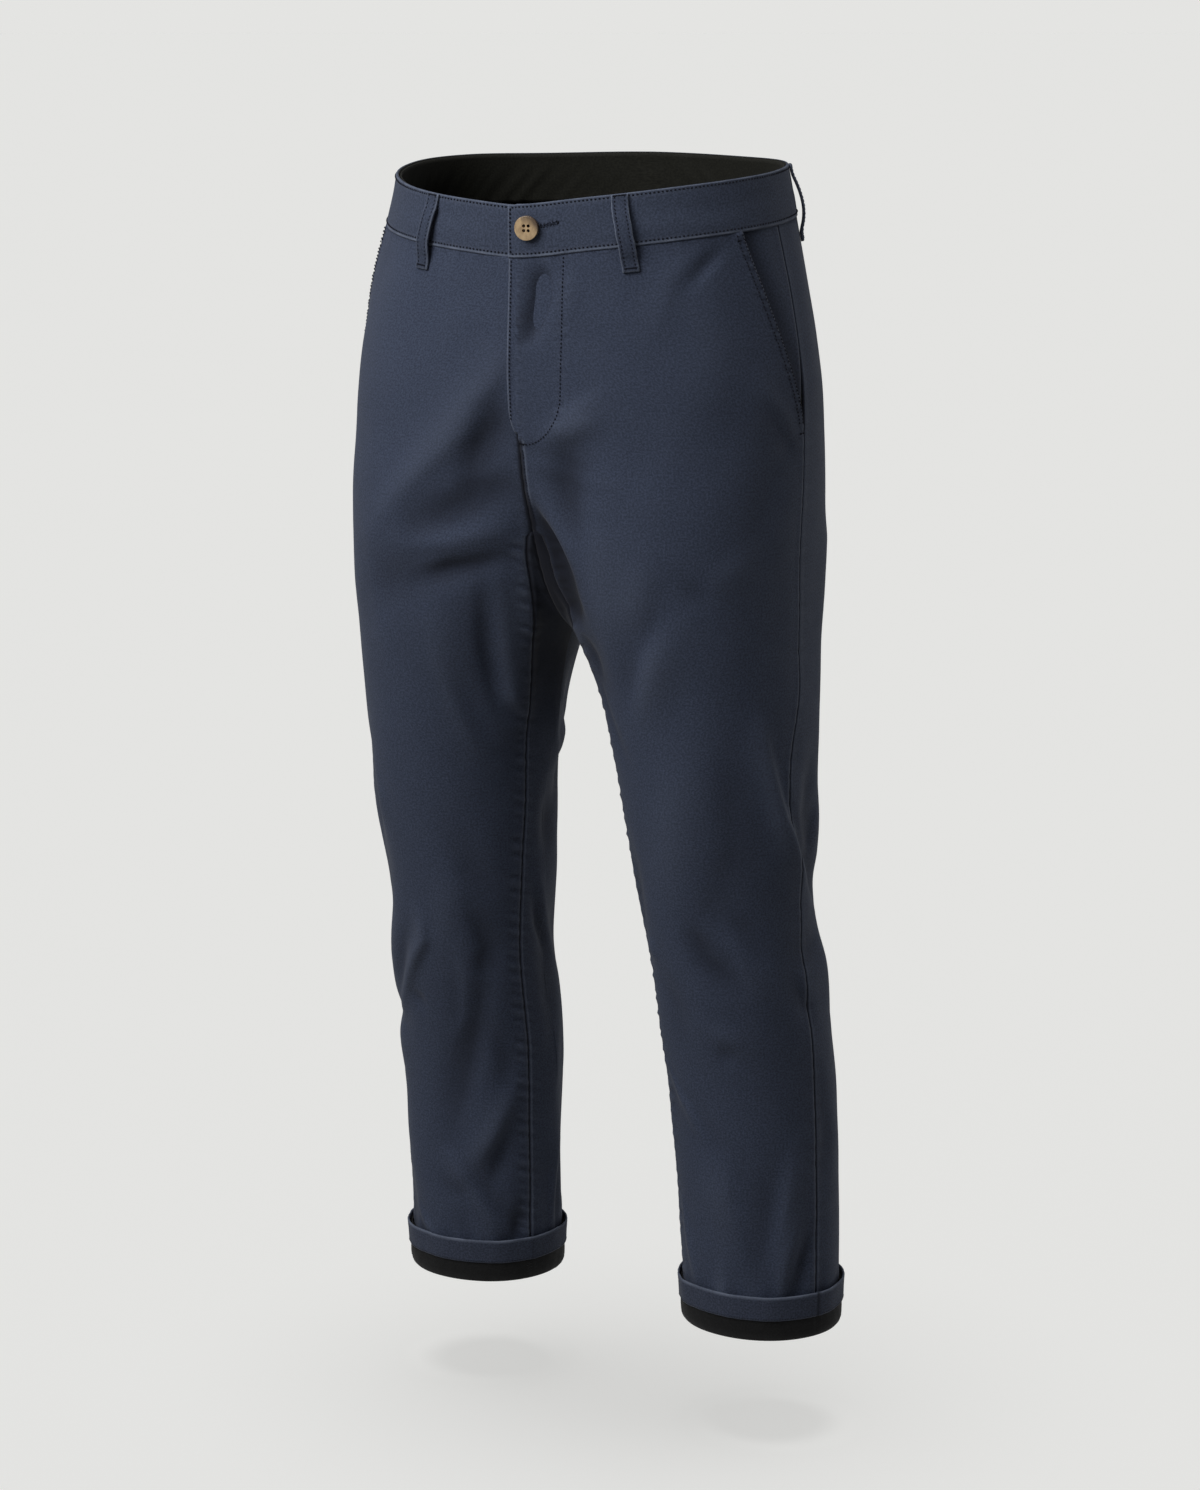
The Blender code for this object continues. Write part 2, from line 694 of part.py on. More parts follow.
def make_ring(name, side, profile, material):
    """Closed ring round a leg's end, with a profile of height above the fold and distance out."""
    rows = []
    for row in profile:
        point = dict(zip(PROFILE_COLUMNS, row))
        depth = HEM - point["up"] * MM
        rows.append(cloth_point(side, depth, ring_angles(side, depth), point["out"] * MM))
    count = len(rows[0])
    faces = []
    for r in range(len(rows)):
        for k in range(count):
            here = r * count
            there = (r + 1) % len(rows) * count
            beside = (k + 1) % count
            faces.append([here + k, there + k, there + beside, here + beside])
    return make_object(name, [point for row in rows for point in row], faces, material)


def make_button(material):
    """Four-hole button with a raised rim, on the left end of the waistband."""
    radius = BUTTON_RADIUS
    top = BUTTON_THICK
    dish = top - BUTTON_DISH
    inner = radius - BUTTON_RIM
    profile = (
        (0, dish), (inner * 0.75, dish), (inner, top - 0.2 * MM), (inner + 0.8 * MM, top), (radius - 0.6 * MM, top),
        (radius, top - 0.8 * MM), (radius, 1.2 * MM), (radius - 1.6 * MM, 0), (0, 0),
    )
    mesh = bpy.data.meshes.new("button")
    edges = [(k, k + 1) for k in range(len(profile) - 1)]
    mesh.from_pydata([(x, 0, z) for x, z in profile], edges, [])
    mesh.materials.append(material)
    button = bpy.data.objects.new("button", mesh)
    bpy.data.collections[COLLECTION].objects.link(button)
    turn = button.modifiers.new("turn", "SCREW")
    turn.steps = BUTTON_SEGMENTS
    turn.render_steps = BUTTON_SEGMENTS
    turn.use_merge_vertices = True
    turn.merge_threshold = 0.01 * MM
    turn.use_smooth_shade = True

    depth = BUTTON_DEPTH
    normal = Vector(front_point(BUTTON_X, depth, 1 * MM) - front_point(BUTTON_X, depth, 0.0)).normalized()
    seat = Vector(front_point(BUTTON_X, depth, lap_out(BUTTON_X) + BUTTON_CLEAR))
    button.matrix_world = Matrix.Translation(seat) @ normal.to_track_quat("Z", "Y").to_matrix().to_4x4()

    for k in range(4):
        hole_angle = math.pi / 2 * k + math.pi / 4
        reach = HOLE_SPACING / math.sqrt(2)
        place = Vector((reach * math.cos(hole_angle), reach * math.sin(hole_angle), top / 2))
        cutter_mesh = bpy.data.meshes.new(f"button_hole_{k}")
        shape = bmesh.new()
        bmesh.ops.create_cone(shape, cap_ends=True, segments=10, radius1=HOLE_RADIUS, radius2=HOLE_RADIUS,
                              depth=3 * top)
        shape.to_mesh(cutter_mesh)
        shape.free()
        cutter = bpy.data.objects.new(f"button_hole_{k}", cutter_mesh)
        cutter.matrix_world = button.matrix_world @ Matrix.Translation(place)
        cutter.hide_render = True
        cutter.display_type = "WIRE"
        bpy.data.collections[CUTTERS].objects.link(cutter)
        cut = button.modifiers.new(f"hole_{k}", "BOOLEAN")
        cut.operation = "DIFFERENCE"
        cut.solver = "EXACT"
        cut.object = cutter
    return button


def build_trousers():
    """Build every piece."""
    for side, name in SIDE_NAMES.items():
        make_front(side).build(f"front_{name}", make_material(f"front_{name}", NAVY, 0.85))
        make_back(side).build(f"back_{name}", make_material(f"back_{name}", NAVY, 0.85))
        facing = make_material(f"pocket_facing_{name}", NAVY, 0.85)
        make_facing(side).build(f"pocket_facing_{name}", facing)
        band = make_material(f"waistband_{name}", NAVY, 0.85)
        make_waistband(side).build(f"waistband_{name}", band)
        for place, degrees in LOOP_ANGLES.items():
            loop = f"belt_loop_{place}_{name}"
            line = side_loop_line(side, degrees)
            make_belt_loop(line).build(loop, make_material(loop, NAVY_DARK, 0.85))
        turnup = make_material(f"turnup_{name}", BLACK, 0.9)
        make_ring(f"turnup_{name}", side, TURNUP_PROFILE, turnup)
        hem = make_material(f"hem_band_{name}", NAVY_DARK, 0.85)
        make_ring(f"hem_band_{name}", side, HEM_BAND_PROFILE, hem)
    make_fly_shield().build("fly_shield", make_material("fly_shield", NAVY_DARK, 0.85))
    make_waistband_lining().build("waistband_lining", make_material("waistband_lining", BLACK, 0.9))
    loop = "belt_loop_centre"
    make_belt_loop(centre_loop_line).build(loop, make_material(loop, NAVY_DARK, 0.85))
    make_button(make_material("button", HORN, 0.35))


def clear_scene():
    """Remove the scene's objects and make the two collections."""
    for item in list(bpy.data.objects):
        bpy.data.objects.remove(item, do_unlink=True)
    for name in (COLLECTION, CUTTERS):
        collection = bpy.data.collections.new(name)
        bpy.context.scene.collection.children.link(collection)


clear_scene()
build_trousers()
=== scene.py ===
"""Chino trousers in their worn form, dressed: cloth, folds, puckers, stitching, loops, turn-ups and button.

Metres, +Z up. The front faces -Y and the wearer's left is +X. A place on the cloth is a side, a depth below
the waist and an angle round the leg's section, 0 at its outer side and negative towards the front.
"""

import logging
import math
from collections.abc import Callable, Sequence
from dataclasses import dataclass, field
from enum import Enum, IntEnum

import bmesh
import bpy
import numpy as np
from mathutils import Matrix, Vector

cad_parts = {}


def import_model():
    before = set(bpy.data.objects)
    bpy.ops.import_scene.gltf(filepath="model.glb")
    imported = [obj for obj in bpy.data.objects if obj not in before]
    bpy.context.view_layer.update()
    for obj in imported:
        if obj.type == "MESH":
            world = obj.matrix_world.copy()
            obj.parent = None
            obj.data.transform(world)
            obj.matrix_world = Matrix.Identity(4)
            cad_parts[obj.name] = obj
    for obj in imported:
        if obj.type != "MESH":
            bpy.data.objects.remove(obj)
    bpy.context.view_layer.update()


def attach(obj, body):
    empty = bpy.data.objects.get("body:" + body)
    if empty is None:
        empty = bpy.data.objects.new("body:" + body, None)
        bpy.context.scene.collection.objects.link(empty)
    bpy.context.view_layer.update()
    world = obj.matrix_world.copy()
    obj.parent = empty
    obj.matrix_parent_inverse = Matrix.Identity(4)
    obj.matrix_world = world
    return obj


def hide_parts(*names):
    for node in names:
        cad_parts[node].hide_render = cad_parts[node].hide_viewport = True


LOG = logging.getLogger("chinos")
MM = 0.001
BODY = "root"

Points = np.ndarray
Rows = tuple[tuple[float, ...], ...]
Colour = tuple[float, float, float]


class Side(IntEnum):
    """The wearer's side that a piece is on."""

    LEFT = 1
    RIGHT = -1

    @property
    def word(self) -> str:
        """Lower-case word used in the pieces' names."""
        return self.name.lower()


class Hold(str, Enum):
    """How a sheet of cloth is held."""

    DRAPED = "draped"
    LAID = "laid"
    FOLDED = "folded"


def ease(value: Points) -> Points:
    """Ease from 0 to 1 as the value goes from 0 to 1."""
    value = np.clip(value, 0, 1)
    return value * value * (3 - 2 * value)


def bell(value: Points, width: Points) -> Points:
    """1 where the value is 0, falling off to both sides over a width."""
    return np.exp(-((value / width) ** 2))


def signed_power(value: Points, power: Points) -> Points:
    """Raise to a power and keep the sign."""
    return np.sign(value) * np.abs(value) ** power


def unit(vectors: Points) -> Points:
    """Vectors of length 1."""
    return vectors / np.maximum(np.linalg.norm(vectors, axis=-1, keepdims=True), 1e-12)


def distances(line: Points) -> Points:
    """Distance of each point of a line from its first point, along the line."""
    return np.concatenate([[0], np.cumsum(np.linalg.norm(np.diff(line, axis=0), axis=-1))])


def ripple(place: Points, pitch: float, seed: float) -> Points:
    """Uneven wave between about -1 and 1.

    Args:
        place: Distance along the wave, in metres.
        pitch: Usual distance between two crests, in metres.
        seed: Any number, so that two waves differ.

    Returns:
        The wave's height at each place.
    """
    turn = 2 * math.pi * np.asarray(place, float) / pitch
    wave = np.sin(turn + seed) + 0.6 * np.sin(0.71 * turn + 2.3 * seed)
    wave = wave + 0.45 * np.sin(1.63 * turn + 4.1 * seed)
    return wave / 1.6


def smooth_curve(rows: Rows, column: int, where: Points) -> Points:
    """Read one column of a table along a smooth curve through its rows.

    Args:
        rows: Table whose first column says where each row stands.
        column: Column to read.
        where: Places to read at, in the first column's unit.

    Returns:
        The column's values, in the table's unit.
    """
    table = np.asarray(rows, float)
    at = table[:, 0]
    value = table[:, column]
    slope = np.gradient(value, at)
    where = np.asarray(where, float)
    low = np.clip(np.searchsorted(at, where, side="right") - 1, 0, len(at) - 2)
    span = at[low + 1] - at[low]
    t = np.clip((where - at[low]) / span, 0, 1)
    start = (1 + 2 * t) * (1 - t) ** 2 * value[low] + t * (1 - t) ** 2 * span * slope[low]
    end = t * t * (3 - 2 * t) * value[low + 1] + t * t * (t - 1) * span * slope[low + 1]
    return start + end


def smooth_column(rows: Rows, column: int, depth: Points) -> Points:
    """Read one column of a table whose rows stand at depths in millimetres, at depths in metres."""
    return smooth_curve(rows, column, np.asarray(depth, float) / MM)


# The form


@dataclass(frozen=True)
class LegForm:
    """The worn form of the trousers, as superellipse sections of one leg that meet at the middle."""

    sections: Rows = (
        (-10, 0, 0, 161, 116, 116, 2.20, 2.20), (0, 0, 0, 161, 117, 117, 2.20, 2.20),
        (40, 6, 0, 162, 117, 121, 2.20, 2.20), (95, 18, 0, 161, 118, 125, 2.15, 2.20),
        (155, 36, -2, 153, 115, 129, 2.10, 2.35), (200, 52, -2, 138, 112, 130, 2.10, 2.50),
        (245, 73, -2, 117, 110, 128, 2.10, 2.60), (285, 84, -2, 105, 107, 124, 2.10, 2.70),
        (320, 91, -1, 98, 102, 118, 2.10, 2.50), (357, 99, 0, 89, 96, 110, 2.05, 2.20),
        (390, 105, 3, 84, 92, 103, 2.00, 2.00), (450, 113, 6, 77, 84, 93, 2.00, 2.00),
        (510, 118, 10, 74, 76, 84, 2.00, 2.00), (570, 120, 16, 69, 70, 78, 2.00, 2.00),
        (630, 126, 26, 67, 68, 74, 2.00, 2.00), (720, 130, 43, 68, 64, 70, 2.00, 2.00),
        (810, 133, 52, 66, 62, 66, 2.00, 2.00), (928, 135, 58, 63.5, 60, 62, 2.00, 2.00),
    )
    stance: Rows = (
        (240, 0, 0, 0, 0), (300, 0, 0, 0.5, 0), (390, -1.5, -2, 6, 2), (450, -2, -4, 4, 4),
        (560, -1, -7, 0, 7), (650, 2, -10, -2.5, 10), (928, 4, -15, -3, 15),
    )
    hip_sway: Rows = (
        (0, 0), (60, 0), (200, -3.5), (265, -5), (310, -5), (357, -2), (400, 0), (440, 0), (928, 0),
    )
    side_seam: Rows = (
        (0, -5), (100, -3), (250, -1), (380, -3), (485, -16), (560, -6), (640, -12), (720, -18), (928, -24),
    )
    inseam: Rows = (
        (270, -129), (290, -133.5), (310, -138.5), (330, -143.5), (350, -148), (380, -153), (430, -157.5),
        (470, -159), (585, -154), (711, -151), (928, -152),
    )
    middle_round: float = 10 * MM
    waist_tilt: float = 17 * MM
    waist_half_depth: float = 118 * MM
    tilt_start: float = 30 * MM
    tilt_end: float = 220 * MM
    band: float = 40 * MM
    fork: float = 270 * MM
    thigh: float = 400 * MM
    panel_end: float = 924 * MM
    hem: float = 928 * MM
    fly_end: float = 190 * MM
    pocket_end: float = 187 * MM
    pocket_swing: float = 19.0
    pocket_curve: float = 1.3

    def section(self, side: Side, depth: Points) -> dict[str, Points]:
        """Sizes of a leg's section.

        Args:
            side: Which leg.
            depth: Depths in metres.

        Returns:
            The section's place, half sizes and powers by name.
        """
        names = ("x", "y", "half", "front", "back")
        sizes = {name: smooth_column(self.sections, k + 1, depth) * MM for k, name in enumerate(names)}
        sizes["front_power"] = smooth_column(self.sections, 6, depth)
        sizes["back_power"] = smooth_column(self.sections, 7, depth)
        column = 1 if side == Side.LEFT else 3
        sizes["x"] = sizes["x"] + MM * smooth_column(self.stance, column, depth)
        sizes["y"] = sizes["y"] + MM * smooth_column(self.stance, column + 1, depth)
        return sizes

    def angle_across(self, side: Side, depth: Points, distance: Points, behind: bool) -> Points:
        """Angle at which the section is at a distance from the middle plane, without its sign."""
        sizes = self.section(side, depth)
        across = np.sqrt(np.asarray(distance, float) ** 2 + self.middle_round ** 2)
        reach = np.clip((across - sizes["x"]) / sizes["half"], -1, 1)
        power = sizes["back_power"] if behind else sizes["front_power"]
        return np.arccos(np.clip(signed_power(reach, power / 2), -1, 1))

    def open_angle(self, side: Side, depth: Points, behind: bool = False) -> Points:
        """Angle from the outer side to the middle plane, or pi where the leg is closed."""
        return self.angle_across(side, depth, 0.0, behind)

    def value(self, side: Side, x: Points, y: Points, depth: Points) -> Points:
        """1 on the section's outline, less inside and more outside."""
        sizes = self.section(side, depth)
        across = np.sqrt(x * x + self.middle_round ** 2)
        behind = y > sizes["y"]
        power = np.where(behind, sizes["back_power"], sizes["front_power"])
        reach = np.where(behind, sizes["back"], sizes["front"])
        crosswise = np.abs((across - sizes["x"]) / sizes["half"]) ** power
        return crosswise + np.abs((y - sizes["y"]) / reach) ** power

    def outline(self, side: Side, depth: Points, angle: Points) -> tuple[Points, Points]:
        """Plan position of a place on the section, on the wearer's left."""
        sizes = self.section(side, depth)
        behind = angle > 0
        power = 2 / np.where(behind, sizes["back_power"], sizes["front_power"])
        across = sizes["x"] + sizes["half"] * signed_power(np.cos(angle), power)
        reach = np.where(behind, sizes["back"], sizes["front"])
        y = sizes["y"] + reach * signed_power(np.sin(angle), power)
        return np.sqrt(np.maximum(across ** 2 - self.middle_round ** 2, 0)), y

    def outward(self, side: Side, x: Points, y: Points, depth: Points) -> Points:
        """Unit normal of the form, out of the cloth."""
        step = 0.1 * MM
        along_x = self.value(side, x + step, y, depth) - self.value(side, np.abs(x - step), y, depth)
        along_x = np.where(x < step, 0, along_x)
        along_y = self.value(side, x, y + step, depth) - self.value(side, x, y - step, depth)
        along_z = self.value(side, x, y, depth - step) - self.value(side, x, y, depth + step)
        return unit(np.stack([along_x, along_y, along_z], -1))

    def radius(self, side: Side, depth: Points) -> Points:
        """Mean radius of the section, which turns an angle into a distance."""
        sizes = self.section(side, depth)
        return (sizes["half"] + (sizes["front"] + sizes["back"]) / 2) / 2

    def side_seam_angle(self, depth: Points) -> Points:
        """Angle of the side seam."""
        return np.radians(smooth_column(self.side_seam, 1, depth))

    def inseam_angle(self, side: Side, depth: Points) -> Points:
        """Angle of the inseam, or of the front rise seam above the fork."""
        below = np.radians(smooth_column(self.inseam, 1, depth))
        return np.where(depth > self.fork, below, -self.open_angle(side, depth))

    def pocket_angle(self, depth: Points) -> Points:
        """Angle of the slant pocket's opening edge."""
        share = np.clip((depth - self.band) / (self.pocket_end - self.band), 0, 1)
        swing = math.radians(self.pocket_swing) * (1 - share ** self.pocket_curve)
        return self.side_seam_angle(depth) - swing

    def crotch(self, side: Side) -> float:
        """Depth where the leg's section closes."""
        open_depth, closed_depth = self.fork, self.thigh
        for _ in range(40):
            middle = (open_depth + closed_depth) / 2
            sizes = self.section(side, middle)
            if sizes["x"] - sizes["half"] < self.middle_round:
                open_depth = middle
            else:
                closed_depth = middle
        return closed_depth


@dataclass(frozen=True)
class Crease:
    """A soft ridge (+) or trough (-) of the cloth along a path.

    The path is a row of (depth in mm, angle in degrees). A skew of 1 makes the side of growing angle steep.
    """

    path: tuple[tuple[float, float], ...]
    width: float
    height: float
    skew: float = 0.0
    taper: float = 0.75

    def relief(self, depth: Points, angle: Points, radius: Points) -> Points:
        """Height of the crease at places on a leg.

        Args:
            depth: Depths in metres.
            angle: Angles in radians.
            radius: The section's mean radius at each place.

        Returns:
            Heights in metres.
        """
        total = np.zeros(depth.shape)
        reach = 3.2 * self.width * MM
        depths = [point[0] * MM for point in self.path]
        near = (depth > min(depths) - reach) & (depth < max(depths) + reach)
        if not near.any():
            return total
        down, turn, size = depth[near], angle[near], radius[near]
        best = np.full(down.shape, 1e9)
        signed = np.zeros(down.shape)
        share = np.zeros(down.shape)
        count = len(self.path) - 1
        for k, (start, end) in enumerate(zip(self.path, self.path[1:])):
            run_down = (end[0] - start[0]) * MM
            run_round = math.radians((end[1] - start[1] + 180) % 360 - 180) * size
            off_down = down - start[0] * MM
            off_round = ((turn - math.radians(start[1]) + math.pi) % (2 * math.pi) - math.pi) * size
            length = np.maximum(run_down ** 2 + run_round ** 2, 1e-12)
            along = np.clip((off_down * run_down + off_round * run_round) / length, 0, 1)
            away = np.hypot(off_down - along * run_down, off_round - along * run_round)
            beside = (off_round * run_down - off_down * run_round) / np.sqrt(length)
            closer = away < best
            best = np.where(closer, away, best)
            signed = np.where(closer, beside, signed)
            share = np.where(closer, (k + along) / count, share)
        off = np.clip(np.abs(signed) / (0.3 * self.width * MM), 0, 1)
        lean = 1 - 0.55 * self.skew * np.sign(signed) * off
        fade = 1 - self.taper + self.taper * np.sin(math.pi * share)
        total[near] = self.height * MM * fade * bell(best, self.width * MM * lean)
        return total


def creases(rows: Sequence[tuple], taper: float = 0.75) -> tuple[Crease, ...]:
    """Creases from rows of a path, a width, a height and, where given, a skew and a taper.

    Args:
        rows: The creases. A path is depth and angle of its first point, then of its second one, and so on.
        taper: How far the creases fade at their ends where a row has no taper.

    Returns:
        The creases, in the same order.
    """
    made = []
    for path, width, height, *rest in rows:
        skew, end = (*rest, *(0.0, taper)[len(rest):])
        made.append(Crease(tuple(zip(path[::2], path[1::2])), width, height, skew, end))
    return tuple(made)


LARGE_FOLDS: dict[Side, tuple[Crease, ...]] = {
    Side.LEFT: creases((
        ((130, 0, 330, 0), 70, 3.0), ((345, -118, 400, -140), 20, -3.5), ((430, -34, 540, -14), 15, 4.0),
        ((455, 12, 500, 2), 14, -4.0), ((500, 2, 580, 22), 14, -3.5), ((596, 30, 606, -20), 16, -3.0),
        ((420, 150, 520, 110), 20, -4.0), ((500, 70, 560, 120), 18, 4.0),
        ((700, -150, 760, -135), 16, -2.5), ((640, 80, 740, 120), 22, -3.5),
    ), taper=0.55),
    Side.RIGHT: creases((
        ((130, 0, 330, 0), 70, -1.5), ((190, -95, 275, -55), 26, -4.0), ((300, -95, 320, -60), 24, -4.0),
        ((470, 150, 520, 168), 15, -4.0), ((440, 140, 470, 175), 14, 3.0), ((480, -10, 575, -30), 15, 3.5),
        ((600, -50, 680, -25), 16, 4.0), ((690, -8, 705, -45), 12, -3.5), ((600, 165, 650, 150), 14, -3.5),
        ((420, 60, 500, 110), 20, -4.0), ((520, 60, 560, 120), 18, 3.5), ((760, 160, 860, 150), 12, -3.0),
        ((640, 70, 740, 110), 22, -3.0),
    ), taper=0.55),
}

